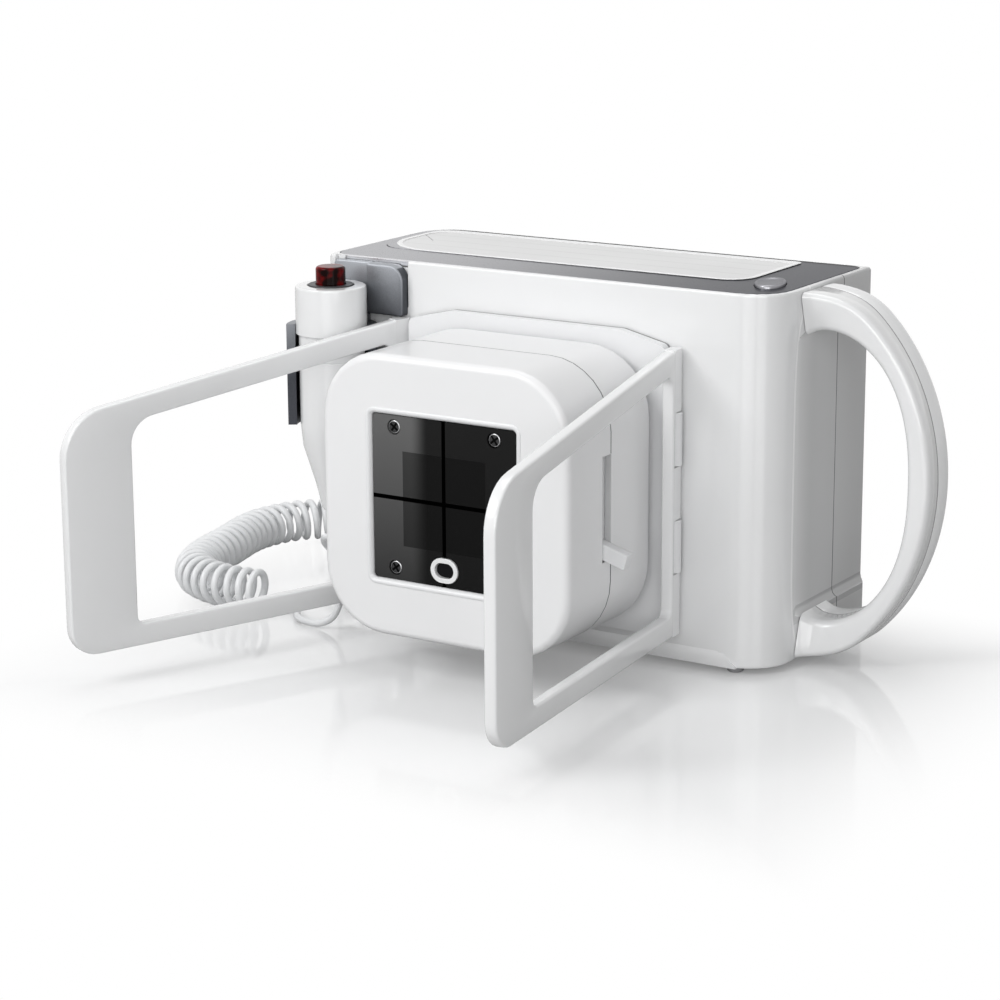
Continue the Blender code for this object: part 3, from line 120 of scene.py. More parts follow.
def finish(name, colour, roughness, **constants):
    """Starts a finish: a Principled shader with the values that are the same all over, and Object coordinates."""
    material = bpy.data.materials.new(name)
    material.use_nodes = True
    shader = material.node_tree.nodes["Principled BSDF"]
    shader.inputs["Base Color"].default_value = (*colour, 1.0)
    shader.inputs["Roughness"].default_value = roughness
    for key, value in constants.items():
        shader.inputs[key.replace("_", " ")].default_value = value
    where = Value(material.node_tree.nodes.new("ShaderNodeTexCoord").outputs["Object"])
    return material, shader, where


def axes(where):
    """The coordinates along x, y and z."""
    return [where.node("SeparateXYZ", None, {0: where}, k) for k in range(3)]


def mixed(share, first, second):
    """A colour between two: the first where share is 0, the second where it is 1."""
    first, second = (tone if isinstance(tone, Value) else (*tone, 1.0) for tone in (first, second))
    return share.node("Mix", {"data_type": "RGBA"}, {0: share, 6: first, 7: second}, 2)


def ramp(value, start, end, low=0.0, high=1.0, kind="LINEAR"):
    """Runs from low to high while the value runs from start to end, and stays level outside."""
    return value.node("MapRange", {"interpolation_type": kind}, {
        "Value": value, "From Min": start, "From Max": end, "To Min": low, "To Max": high})


def surface(look, mixture):
    """Makes a mixture of shaders the finish's surface."""
    mixture.into(look.node_tree.nodes["Material Output"].inputs["Surface"])


table_mesh = bpy.data.meshes.new("table")
table_mesh.from_pydata([(-9, -9, 0), (9, -9, 0), (9, 9, 0), (-9, 9, 0)], [], [(0, 1, 2, 3)])
table = bpy.data.objects.new("table", table_mesh)
bpy.context.scene.collection.objects.link(table)
table.location.z = -0.0002
TABLE_PALE = (0.93, 0.935, 0.94)
table_look, table_shader, table_where = finish("polished_table", TABLE_PALE, 0.07)
lit = Value(table_look.node_tree.nodes.new("ShaderNodeLightPath").outputs["Is Camera Ray"])
glow = lit.node("Emission", None, {"Color": (1.0, 1.0, 1.0, 1.0), "Strength": 1.0})
along, deep, _ = axes(table_where)
apart = along.maths("MAXIMUM", abs(along) - 0.150, abs(deep) - 0.110)
fade = ramp(apart, -0.04, 0.05, 0.15, 1.0, "SMOOTHSTEP")
mixed(lit, (0.50, 0.50, 0.50), TABLE_PALE).into(table_shader.inputs["Base Color"])
surface(table_look, lit.node("MixShader", None, {0: lit * fade, 1: Value(table_shader.outputs[0]), 2: glow}))
table_mesh.materials.append(table_look)

surround = bpy.data.worlds.new("surround")
bpy.context.scene.world = surround
surround.use_nodes = True
paths = surround.node_tree.nodes.new("ShaderNodeLightPath").outputs
seen = Value(paths["Is Camera Ray"]) + Value(paths["Is Glossy Ray"]) + Value(paths["Is Transmission Ray"])
shown = seen.maths("MINIMUM", seen, 1.0)
facing = seen.node("TexCoord", None, None, "Generated")
soft_fill = ramp(axes(facing)[0], -1.0, 1.0, 0.46, 0.25)
background = surround.node_tree.nodes["Background"].inputs
(shown + (1.0 - shown) * soft_fill).into(background["Strength"])
background["Color"].default_value = (1.0, 1.0, 1.0, 1.0)

for lamp_name, spot, aim, size, power in (
        ("lamp_key", (-0.75, -1.25, 1.25), (0, 0, 0.05), 1.0, 15.5),
        ("lamp_front", (0.6, -1.7, 0.6), (0, 0, 0.05), 1.0, 7.5),
        ("lamp_side", (1.3, -1.1, 0.45), (0, 0, 0.08), 0.7, 4.5),
        ("lamp_top", (-0.2, 0.35, 1.5), (0, 0, 0.1), 1.0, 5.0)):
    lamp_data = bpy.data.lights.new(lamp_name, "AREA")
    lamp_data.size = size
    lamp_data.energy = power
    lamp_object = bpy.data.objects.new(lamp_name, lamp_data)
    bpy.context.scene.collection.objects.link(lamp_object)
    towards = np.array(aim, float) - spot
    towards /= np.linalg.norm(towards)
    across = np.cross(towards, (0, 0, 1))
    across /= np.linalg.norm(across)
    lamp_place = np.eye(4)
    lamp_place[:3, :3] = np.column_stack((across, np.cross(across, towards), -towards))
    lamp_place[:3, 3] = spot
    lamp_object.matrix_world = Matrix(lamp_place)


# Curly cord: white flexible cord, 3 mm thick, heat-set into springy curls that lie on the table.
# Its tail leaves the last curl on the tangent and hangs from the hand switch in a loop; its lead sags
# from the other end of the coil to the plug in the housing's end.
WIRE = 0.0030
COIL_RADIUS = 0.0076
COIL_Z = 0.0094
CURLS = 30.5
COIL_ROUTE = ((-0.116, -0.027), (-0.138, -0.027), (-0.156, -0.019), (-0.1665, -0.002), (-0.172, 0.022),
              (-0.178, 0.050), (-0.174, 0.071), (-0.163, 0.084), (-0.149, 0.0885))
TAIL_ROUTE = ((-0.1153, -0.0238, 0.0018), (-0.1130, -0.0211, 0.0018), (-0.1091, -0.0197, 0.0018),
              (-0.1040, -0.0211, 0.0018), (-0.1003, -0.0253, 0.0018), (-0.0966, -0.0292, 0.0018),
              (-0.0917, -0.0310, 0.0018), (-0.0843, -0.0316, 0.0022), (-0.0784, -0.0302, 0.0058),
              (-0.0771, -0.0267, 0.0132), (-0.0810, -0.0210, 0.0186), (-0.0857, -0.0177, 0.0238))
LEAD_ROUTE = ((-0.1462, 0.0810, 0.0150), (-0.1435, 0.0735, 0.0098), (-0.1410, 0.0660, 0.0058),
              (-0.1390, 0.0580, 0.0046), (-0.1378, 0.0510, 0.0066), (-0.1362, 0.0445, 0.0108),
              (-0.1332, 0.0400, 0.0146))
SWITCH_END = np.array((-0.0865, -0.0165, 0.0329))
PLUG_END = np.array((-0.1246, 0.0380, 0.0160))
ROUTE_STEP = 0.0012
PATH_START = 0.0005


def run_along(path):
    """The distance from the path's start to each of its points."""
    return np.concatenate(([0], np.cumsum(np.linalg.norm(np.diff(path, axis=0), axis=1))))


def smooth_route(points, step):
    """Catmull-Rom: each span is a cubic whose ends take their slope from the neighbours. Then even steps along it."""
    points = np.array(points, float)
    padded = np.vstack((2 * points[0] - points[1], points, 2 * points[-1] - points[-2]))
    share = np.linspace(0, 1, 60, endpoint=False)[:, None, None]
    a, b, c, d = (padded[k:len(padded) - 3 + k] for k in range(4))
    dense = 0.5 * (2 * b + (c - a) * share + (2 * a - 5 * b + 4 * c - d) * share ** 2
                   + (3 * b - a - 3 * c + d) * share ** 3)
    dense = np.vstack((dense.transpose(1, 0, 2).reshape(-1, points.shape[1]), points[-1:]))
    run = run_along(dense)
    spots = np.linspace(0, run[-1], max(int(round(run[-1] / step)), 2) + 1)
    return np.column_stack([np.interp(spots, run, dense[:, k]) for k in range(dense.shape[1])])


def curls(route, count, per_curl):
    """A helix of that many turns about a smooth route: beside it by the radius times the cosine of the turn, above it
    by the radius times the sine. It starts at its lowest point. Its directions at both ends come with it."""
    path = smooth_route(route, 0.0005)
    run = run_along(path)
    stations = np.linspace(0, run[-1], int(count * per_curl) + 1)
    centre = np.column_stack((np.interp(stations, run, path[:, 0]), np.interp(stations, run, path[:, 1])))
    heading = np.gradient(centre, axis=0)
    heading /= np.linalg.norm(heading, axis=1)[:, None]
    angle = 2 * math.pi * (stations / run[-1] * count - 0.25)
    beside = COIL_RADIUS * np.cos(angle)
    helix = np.column_stack((centre[:, 0] - heading[:, 1] * beside, centre[:, 1] + heading[:, 0] * beside,
                             COIL_Z + COIL_RADIUS * np.sin(angle)))
    ends = np.stack((helix[1] - helix[0], helix[-1] - helix[-2]))
    return helix, *(ends / np.linalg.norm(ends, axis=1)[:, None])


helix, first_way, last_way = curls(COIL_ROUTE, CURLS, 26)
tail_points = (helix[0] - first_way * PATH_START, *TAIL_ROUTE, SWITCH_END - (0, 0, 0.0046), SWITCH_END)
lead_points = (helix[-1] + last_way * PATH_START, *LEAD_ROUTE, PLUG_END - (0.0045, 0, 0), PLUG_END)
tail, lead = smooth_route(tail_points, ROUTE_STEP), smooth_route(lead_points, ROUTE_STEP)
cord_path = np.vstack((tail[::-1], helix, lead))
cord_path += (BEAM_X, FRONT_Y, 0)
cord_curve = bpy.data.curves.new("curly_cord", "CURVE")
cord_curve.dimensions = "3D"
cord_curve.bevel_depth = WIRE / 2
cord_curve.bevel_resolution = 4
cord_curve.use_fill_caps = True
cord_spline = cord_curve.splines.new("POLY")
cord_spline.points.add(len(cord_path) - 1)
cord_spline.points.foreach_set("co", np.column_stack((cord_path, np.ones(len(cord_path)))).ravel())
cord_spline.use_smooth = True
curly_cord = bpy.data.objects.new("curly_cord", cord_curve)
bpy.context.scene.collection.objects.link(curly_cord)


def noise(where, scale, detail, **more):
    """Fine noise in the piece's own space."""
    return where.node("TexNoise", None, {"Vector": where, "Scale": scale, "Detail": detail, **more})


def grained(name, colour, least, spread, scale, detail, raised=0.0, **constants):
    """A finish of one colour. Noise varies its roughness upward from least by spread, and may raise a fine grain."""
    look, shader, where = finish(name, colour, least, **constants)
    grain = noise(where, scale, detail)
    (grain * spread + least).into(shader.inputs["Roughness"])
    if raised:
        bump = where.node("Bump", None, {"Height": grain, "Strength": raised, "Distance": 0.0002})
        bump.into(shader.inputs["Normal"])
    return look


cord_white = grained("cord_white", (0.80, 0.81, 0.82), 0.24, 0.12, 420.0, 3.0, Specular_IOR_Level=0.5)
cord_curve.materials.append(cord_white)
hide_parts("cord_tail", "cord_coil", "cord_lead")
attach(curly_cord, "unit")


# Housing: two glossy white mouldings, a front and a rear shell, that meet in a joint behind the handle.
# They are injection moulded with thin walls and rounded corners. Each solid's flats stay flat here,
# and its rounded corners shade evenly.
BEAM_Z = 0.069824
rounding = bpy.data.node_groups.new("even_rounding", "GeometryNodeTree")
for way in ("INPUT", "OUTPUT"):
    rounding.interface.new_socket("Geometry", in_out=way, socket_type="NodeSocketGeometry")
solid_in = rounding.nodes.new("NodeGroupInput")
solid_out = rounding.nodes.new("NodeGroupOutput")
weld = rounding.nodes.new("GeometryNodeMergeByDistance")
weld.inputs["Distance"].default_value = 0.000002
edge_angle = rounding.nodes.new("GeometryNodeInputMeshEdgeAngle")
is_soft = rounding.nodes.new("FunctionNodeCompare")
is_soft.data_type = "FLOAT"
is_soft.operation = "LESS_THAN"
is_soft.inputs[1].default_value = math.radians(38)
soft_faces = rounding.nodes.new("GeometryNodeSetShadeSmooth")
soft_edges = rounding.nodes.new("GeometryNodeSetShadeSmooth")
soft_edges.domain = "EDGE"
join = rounding.links.new
join(solid_in.outputs[0], weld.inputs["Geometry"])
join(weld.outputs[0], soft_faces.inputs["Geometry"])
join(soft_faces.outputs[0], soft_edges.inputs["Geometry"])
join(edge_angle.outputs["Unsigned Angle"], is_soft.inputs[0])
join(is_soft.outputs[0], soft_edges.inputs["Shade Smooth"])
join(soft_edges.outputs[0], solid_out.inputs[0])


def dress(look, edge, *names):
    """Gives CAD solids a finish: flats made whole, sharp edges rounded by edge, even shading over the rounding."""
    for name in names:
        solid = nodes[name]
        solid.modifiers.new("weld", "WELD").merge_threshold = 0.000002
        whole = solid.modifiers.new("whole_flats", "DECIMATE")
        whole.decimate_type = "DISSOLVE"
        whole.angle_limit = math.radians(0.4)
        if edge:
            rounded = solid.modifiers.new("rounded_edges", "BEVEL")
            rounded.width = edge
            rounded.segments = 3
            rounded.angle_limit = math.radians(40)
        even = solid.modifiers.new("even_rounding", "NODES")
        even.node_group = rounding
        weighted = solid.modifiers.new("flat_stays_flat", "WEIGHTED_NORMAL")
        weighted.weight = 100
        weighted.keep_sharp = True
        for slot in solid.material_slots:
            slot.material = look
        if not solid.material_slots:
            solid.data.materials.append(look)


def moulded_white(name, colour, roughness, coat, joint=None, width=0.00032, slot=0.0, grip_painted_shade=False):
    """A gloss moulding: faint flow marks in its colour, handling marks in its gloss, a trace of orange peel. A joint
    line gathers shade where two mouldings meet, less so within slot of the beam's height. Behind a grip the wall's
    colour carries painted shade, deeper along a ledge at its foot, past a painted highlight on a crest that bows with
    the sixth power of the height."""
    look, shader, where = finish(name, colour, roughness, Specular_IOR_Level=0.5, Coat_Roughness=0.03,
                                 Coat_Weight=coat)
    flow = noise(where, 14.0, 3.0, Roughness=0.55)
    tint = mixed(flow, [c * 0.975 for c in colour], [min(c * 1.015, 1.0) for c in colour])
    wide, deep, tall = axes(where)
    if joint is not None:
        in_joint = (abs(deep - (FRONT_Y + joint)) < width) * ((abs(tall - BEAM_Z) > slot) * 0.55 + 0.25)
        tint = mixed(in_joint, tint, (0.08, 0.08, 0.085))
    # Painted shade: behind the grip the wall's colour is greyed for the shade in the recess, more along the ledge at
    # its foot. A painted highlight whitens the crest.
    if grip_painted_shade:
        swell = (tall - 0.0720) * 14.1
        cube = swell * swell * swell
        past = deep - cube * cube * 0.0093 - (FRONT_Y + 0.0178)
        beside = wide > BEAM_X + 0.0940
        shade = ramp(past, 0.0005, 0.0210, 0.07, 0.42, "SMOOTHSTEP")
        ledge_painted_shade = (abs(tall - 0.0195) < 0.0030) * 0.20
        tint = mixed(beside * (past > 0.0005) * (shade + ledge_painted_shade), tint, (0.10, 0.10, 0.105))
        tint = mixed(beside * (abs(past) < 0.0006) * 0.9, tint, (0.98, 0.98, 0.98))
    tint.into(shader.inputs["Base Color"])
    handled = noise(where, 55.0, 6.0, Roughness=0.6)
    (handled * 0.10 + (roughness - 0.05)).into(shader.inputs["Roughness"])
    peel = noise(where, 900.0, 2.0)
    where.node("Bump", None, {"Height": peel, "Strength": 0.008, "Distance": 0.0003}).into(shader.inputs["Normal"])
    return look


GLOSS_WHITE = (0.84, 0.845, 0.85)
housing_white = moulded_white("housing_white", GLOSS_WHITE, 0.20, 0.9)
shell_white = moulded_white("shell_white", GLOSS_WHITE, 0.16, 0.9, joint=0.0580, grip_painted_shade=True)
dress(shell_white, 0.0004, "front_shell", "rear_shell")


# Top: a metallic lacquered trim closes the housing. Its colour carries a painted reflection that runs from silver by
# the switch to graphite by the handle, and painted shade dark along its back edge. A pale moulded panel with a raised
# white rim is let into it, and an oval power button with a dished top.
BODY_TOP, HALF, TRIM_BACK = 0.146, 0.1005, 0.0796


def lacquer(name, colour, roughness, metallic):
    """Metallic lacquer: fine flakes brighten the colour in specks and scatter the gloss."""
    look, shader, where = finish(name, colour, roughness, Metallic=metallic, Coat_Roughness=0.06, Coat_Weight=0.15)
    flakes = noise(where, 2600.0, 2.0)
    (flakes * 0.14 + (roughness - 0.07)).into(shader.inputs["Roughness"])
    return look, shader, where, flakes


def shaded(where, flakes, share, light, dark):
    """Colour from light to dark by share, with the flakes' sparkle over it."""
    tone = where.node("Mix", {"data_type": "RGBA"}, {0: share, 6: (*light, 1.0), 7: (*dark, 1.0)}, 2)
    sparkle = where.node("CombineColor", None, {k: flakes * 1.9 for k in range(3)})
    return where.node("Mix", {"data_type": "RGBA", "blend_type": "MULTIPLY"}, {0: 0.22, 6: tone, 7: sparkle}, 2)


def skin(name, groups, look, body, closed=False):
    """Surfaces through rings of points, ring after ring. Each group of rings is filled at both ends, or runs back
    into its first ring when closed."""
    points, faces = [], []
    for rings in groups:
        around = len(rings[0])
        index = np.arange(len(rings) * around).reshape(len(rings), around) + sum(map(len, points))
        ring, after = (index, np.roll(index, -1, axis=0)) if closed else (index[:-1], index[1:])
        quads = np.stack((ring, np.roll(ring, -1, axis=1), np.roll(after, -1, axis=1), after), axis=-1)
        faces += quads.reshape(-1, 4).tolist()
        faces += [] if closed else [index[0, ::-1].tolist(), index[-1].tolist()]
        points += [np.asarray(r) for r in rings]
    mesh = bpy.data.meshes.new(name)
    mesh.from_pydata((np.concatenate(points) + (BEAM_X, FRONT_Y, 0)).tolist(), [], faces)
    form = bmesh.new()
    form.from_mesh(mesh)
    bmesh.ops.recalc_face_normals(form, faces=form.faces)
    form.to_mesh(mesh)
    form.free()
    mesh.shade_smooth()
    mesh.set_sharp_from_angle(angle=math.radians(50))
    mesh.materials.append(look)
    piece = bpy.data.objects.new(name, mesh)
    bpy.context.scene.collection.objects.link(piece)
    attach(piece, body)
    return piece


def loop(corners, radii, steps=9):
    """A closed outline: straight sides joined by circular arcs. Each corner, taken anticlockwise, has its radius; its
    arc turns evenly about a middle on the corner's bisector, the radius over the sine of half the corner away."""
    corners, arcs = np.array(corners, float), []
    before, after = np.roll(corners, 1, axis=0), np.roll(corners, -1, axis=0)
    for here, last, following, radius in zip(corners, before, after, radii):
        back, ahead = ((other - here) / np.linalg.norm(other - here) for other in (last, following))
        half = math.acos(np.clip(back @ ahead, -1, 1)) / 2
        turn = math.pi - 2 * half
        middle = here + (back + ahead) / np.linalg.norm(back + ahead) * radius / math.sin(half)
        start, end = (here + way * radius / math.tan(half) - middle for way in (back, ahead))
        share = np.linspace(0, 1, steps)[:, None]
        arcs.append(middle + (np.sin((1 - share) * turn) * start + np.sin(share * turn) * end) / math.sin(turn))
    return np.concatenate(arcs)


def box_loop(low, high, radii, inset=0.0):
    """A rectangle's outline from its low and high corners, drawn in by inset."""
    (a, b), (c, d) = np.array(low) + inset, np.array(high) - inset
    return loop(((a, b), (c, b), (c, d), (a, d)), [max(r - inset, 0.0002) for r in radii])


trim_silver, trim_shader, trim_where, trim_flakes = lacquer("trim_silver", (0.3, 0.3, 0.31), 0.30, 1.0)
trim_shader.inputs["Specular Tint"].default_value = (0.55, 0.55, 0.56, 1.0)
trim_x, trim_y, _ = axes(trim_where)
# Painted reflection: the trim's colour runs from silver to graphite towards the handle; painted shade darkens it
# along the back edge.
painted_reflection_to_handle = ramp(trim_x, BEAM_X - 0.0900, BEAM_X + HALF, kind="SMOOTHSTEP")
trim_painted_reflection = shaded(trim_where, trim_flakes, painted_reflection_to_handle, (0.68, 0.68, 0.695), (0.050, 0.052, 0.064))
back_edge_painted_shade = ramp(trim_y, FRONT_Y + TRIM_BACK - 0.0042, FRONT_Y + TRIM_BACK - 0.0022)
mixed(back_edge_painted_shade, trim_painted_reflection, (0.0, 0.0, 0.0)).into(trim_shader.inputs["Base Color"])
(0.15 - back_edge_painted_shade * 0.15).into(trim_shader.inputs["Coat Weight"])
dress(trim_silver, 0.0002, "top_trim")
dress(trim_silver, 0.0, "top_panel")

PANEL_LOW, PANEL_HIGH = np.array((-0.0935, 0.0245)), np.array((0.0745, 0.0746))
PANEL_RADII = (0.0240, 0.0110, 0.0024, 0.0100)
# Each step of the rim: how far in, how high above the trim, how much broader along the back.
rim_profile = ((-0.0004, 0.00022, 0.0), (-0.0004, 0.00034, 0.0), (-0.0002, 0.00046, 0.0), (0.0002, 0.0005, 0.0),
               (0.0012, 0.00048, 0.0012), (0.0018, 0.0004, 0.0016), (0.00182, 0.00024, 0.0016))
rim_rings = [np.insert(box_loop(PANEL_LOW, PANEL_HIGH - (0, broad), PANEL_RADII, inset), 2, BODY_TOP + rise, axis=1)
             for inset, rise, broad in rim_profile]
panel_white = moulded_white("panel_rim_white", (0.84, 0.842, 0.845), 0.22, 0.6)
panel = skin("panel", [rim_rings], panel_white, "unit")
panel_pale, pale_shader, pale_where = finish("panel_pale", (0.66, 0.66, 0.655), 0.22, Coat_Weight=0.3,
                                             Coat_Roughness=0.08)
pale_x, pale_y, _ = axes(pale_where)
ribs = sum(abs(pale_y - (FRONT_Y + line)) < 0.00022 for line in (0.0385, 0.0500, 0.0615))
across_seam = (pale_x - (BEAM_X - 0.0915)) * 0.717 + (pale_y - (FRONT_Y + 0.0590)) * 0.697
seam = (abs(across_seam) < 0.00028) * (pale_x < BEAM_X - 0.0807)
cloud = noise(pale_where, 22.0, 2.0)
pale_tone = ramp(cloud - ribs * 0.8 - seam * 6.0, -3.0, 1.0, 0.05, 0.70)
pale_where.node("CombineColor", None, {k: pale_tone for k in range(3)}).into(pale_shader.inputs["Base Color"])
panel.data.materials.append(panel_pale)
panel.data.polygons[len(panel.data.polygons) - 1].material_index = 1

BUTTON_AT, BUTTON_TURN = np.array((0.0860, 0.0245)), math.radians(105)
around_oval = np.linspace(0, 2 * math.pi, 48, endpoint=False)
oval = np.column_stack((0.0100 * np.cos(around_oval), 0.00575 * np.sin(around_oval)))
turn_cos, turn_sin = math.cos(BUTTON_TURN), math.sin(BUTTON_TURN)
oval = oval @ np.array(((turn_cos, turn_sin), (-turn_sin, turn_cos)))
button_profile = ((1.0, -0.0015), (1.0, 0.0006), (0.985, 0.0010), (0.94, 0.00128), (0.88, 0.0013), (0.82, 0.00118),
                  (0.77, 0.0009), (0.73, 0.00078), (0.4, 0.00072))
button_rings = [np.insert(BUTTON_AT + oval * share, 2, BODY_TOP + rise, axis=1) for share, rise in button_profile]
button_silver, button_shader, button_where, button_flakes = lacquer("button_silver", (0.26, 0.26, 0.275), 0.34, 1.0)
button_shader.inputs["Specular Tint"].default_value = (0.5, 0.5, 0.51, 1.0)
button_tone = shaded(button_where, button_flakes, 0.5, (0.44, 0.44, 0.46), (0.20, 0.20, 0.215))
button_tone.into(button_shader.inputs["Base Color"])
button = skin("power_button_oval", [button_rings], button_silver, "power_key")
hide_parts("power_button")


# Base: the housing's front flares out along its lower edge, up to the rounded column, as one piece with
# the front shell. It stands on four small grey pads of soft plastic, stuck on underneath.
flare = np.array(((0.0004, 0.0090), (-0.0012, 0.0036), (-0.0010, 0.0024), (0.0028, 0.0023)))
flare_ends = ((-0.0955, -0.0955, -0.0955, -0.0955), (0.0800, 0.0862, 0.0868, 0.0868))
flare_rings = [np.column_stack((ends, flare)) for ends in flare_ends]
skin("base_flare", [flare_rings], shell_white, "unit")
grey_plastic = grained("grey_plastic", (0.30, 0.30, 0.31), 0.36, 0.16, 900.0, 3.0, raised=0.10)
around_pad = np.linspace(0, 2 * math.pi, 28, endpoint=False)
disc = np.column_stack((np.cos(around_pad), np.sin(around_pad), np.zeros(28)))
pad_profile = ((0.0032, 0.0017), (0.0032, 0.0004), (0.0028, 0.0))
for side, pad_x in (("left", -0.0840), ("right", 0.0840)):
    for row, pad_y in (("front", 0.0050), ("rear", 0.0750)):
        pad_rings = [disc * radius + (pad_x, pad_y, z) for radius, z in pad_profile]
        pad = skin(f"pad_{row}_{side}", [pad_rings], grey_plastic, "unit")
        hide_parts(f"foot_{row}_{side}")


# Carrying handle: a D-shaped bar in two glossy mouldings that join along its middle, screwed to the shells.
# It is an ellipse outside, levelled at its ends, with a squarer opening; its front edge sweeps back from
# the housing's column and its roots are filleted.
HANDLE_ROOT, HANDLE_REACH, HANDLE_BAR = HALF + 0.0003, 0.0492, 0.0090
HANDLE_TOP, HANDLE_BOTTOM = 0.1448, 0.0028
HANDLE_Z, HANDLE_TALL = (HANDLE_TOP + HANDLE_BOTTOM) / 2, HANDLE_TOP - HANDLE_BOTTOM
HANDLE_BACK, HANDLE_JOINT, JOINT_CUT = 0.0500, 0.0386, 0.0003
HANDLE_ROUND, ARC_WIDE, OPEN_POWER, STATIONS = 0.0026, 0.0697, 2.35, 72


def levelled(z, limit, sign, blend=0.009):
    """Smooth minimum (or maximum) of a height and a limit: a parabola bridges the corner over the blend."""
    share = np.clip(0.5 + 0.5 * sign * (limit - z) / blend, 0, 1)
    return z * share + limit * (1 - share) - sign * blend * share * (1 - share)


bend = np.linspace(1, -1, STATIONS) * math.acos((ARC_WIDE - HANDLE_REACH) / ARC_WIDE)
outer_x = HANDLE_ROOT + HANDLE_REACH - ARC_WIDE + ARC_WIDE * np.cos(bend)
outer_z = levelled(levelled(HANDLE_Z + 0.568 * HANDLE_TALL * np.sin(bend), HANDLE_TOP, 1), HANDLE_BOTTOM, -1)
sweep = np.sin(np.linspace(math.pi / 2, -math.pi / 2, STATIONS))
inner_x = HANDLE_ROOT + (HANDLE_REACH - HANDLE_BAR) * (1 - np.abs(sweep) ** OPEN_POWER) ** (1 / OPEN_POWER)
inner_z = HANDLE_Z + sweep * (0.402 * HANDLE_TALL - 0.0030 * np.exp(-(inner_x - HANDLE_ROOT) / 0.004))
out = (outer_x - HANDLE_ROOT) / HANDLE_REACH
front_outer, front_inner = 0.0205 + 0.0090 * np.sqrt(out), 0.0255 + 0.0040 * np.sqrt(out)


def handle_sections():
    """A rounded section at each station, as one array. A point's rise runs from the inner edge to the outer edge of
    the bar, its depth from the front edge (which slants from inner to outer) to the flat back. A small notch cuts in
    where the two mouldings meet."""
    corner = np.radians(np.linspace(0, 90, 6))
    sine, cosine = HANDLE_ROUND * np.sin(corner), HANDLE_ROUND * np.cos(corner)
    notch = np.array((0, JOINT_CUT, 0))
    at_joint = HANDLE_JOINT + np.array((-JOINT_CUT, 0, JOINT_CUT))
    near_back = HANDLE_BACK - HANDLE_ROUND
    on_outer = np.repeat((1.0, 0.0), 15)
    on_front = np.repeat((1.0, 0.0, 1.0), (6, 18, 6))
    shift = np.concatenate((sine - HANDLE_ROUND, -notch, cosine - HANDLE_ROUND,
                            HANDLE_ROUND - sine, notch, HANDLE_ROUND - cosine))
    depth = np.concatenate((HANDLE_ROUND - cosine, at_joint, near_back + sine,
                            near_back + cosine, at_joint[::-1], HANDLE_ROUND - sine))
    thick = np.hypot(outer_x - inner_x, outer_z - inner_z)[:, None]
    rise = (on_outer * thick + shift) / thick
    x, z, lip = (inner[:, None] + (outer - inner)[:, None] * rise for inner, outer in (
        (inner_x, outer_x), (inner_z, outer_z), (front_inner, front_outer)))
    return np.stack((x, depth + on_front * lip, z), axis=-1)


handle_white = moulded_white("handle_white", GLOSS_WHITE, 0.20, 0.9, joint=HANDLE_JOINT)
handle = skin("carrying_handle", [list(handle_sections())], handle_white, "unit")
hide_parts("handle_front", "handle_rear")


# Collimator mount and hinges: a satin moulded plate screwed to the housing's front, with hinge knuckles
# along its two upright edges. A bright steel pin is pressed through each row of knuckles.
SATIN_WHITE = (0.83, 0.835, 0.845)
cover_white = moulded_white("cover_white", SATIN_WHITE, 0.34, 0.25)
mount_white = moulded_white("mount_white", SATIN_WHITE, 0.34, 0.25, joint=-0.0006, width=0.0008)
dress(mount_white, 0.0, "collimator_mount")
bright_steel = grained("bright_steel", (0.58, 0.58, 0.59), 0.18, 0.2, 800.0, 2.0, Metallic=1.0)
dress(bright_steel, 0.0, "hinge_pin_right", "hinge_pin_left")


# Spacer frames: glossy white moulded plates that taper forward, each with one large opening and rounded
# edges. They keep the collimator at its distance. Three lugs on the rear edge of each turn on a hinge pin.
frame_white = moulded_white("frame_white", GLOSS_WHITE, 0.24, 0.6)
FRAME_LENGTH, FRAME_HALF, FRAME_ROUND = 0.1500, 0.0024, 0.0009
HINGE_X, HINGE_Y = 0.0612, -0.0040


def frame_outline(grow, opening):
    """The plate's edge or its opening, grown by grow; top and base slope evenly along the length."""
    ends = (0.0060, 0.1220) if opening else (0.0037, FRAME_LENGTH)
    near, far = ends[0] - grow, ends[1] + grow
    tops = [BEAM_Z + 0.0547 - 0.0215 * u / FRAME_LENGTH - 0.0086 * opening + grow for u in (near, far)]
    bases = [BEAM_Z - 0.0564 - 0.0024 * u / FRAME_LENGTH + 0.0085 * opening - grow for u in (near, far)]
    radii = (0.0030, 0.0032, 0.0105, 0.0040) if opening else (0.0014, 0.0110, 0.0190, 0.0014)
    corners = ((near, bases[0]), (far, bases[1]), (far, tops[1]), (near, tops[0]))
    return loop(corners, [r + grow for r in radii])


def on_hinge(side, splay, along, across, height):
    """From along the plate, across it and up, to the model: turned by the splay about the hinge pin."""
    x, y = -across, -along
    return np.column_stack((side * HINGE_X + x * math.cos(splay) - y * math.sin(splay),
                            HINGE_Y + x * math.sin(splay) + y * math.cos(splay), np.full_like(y, height)))


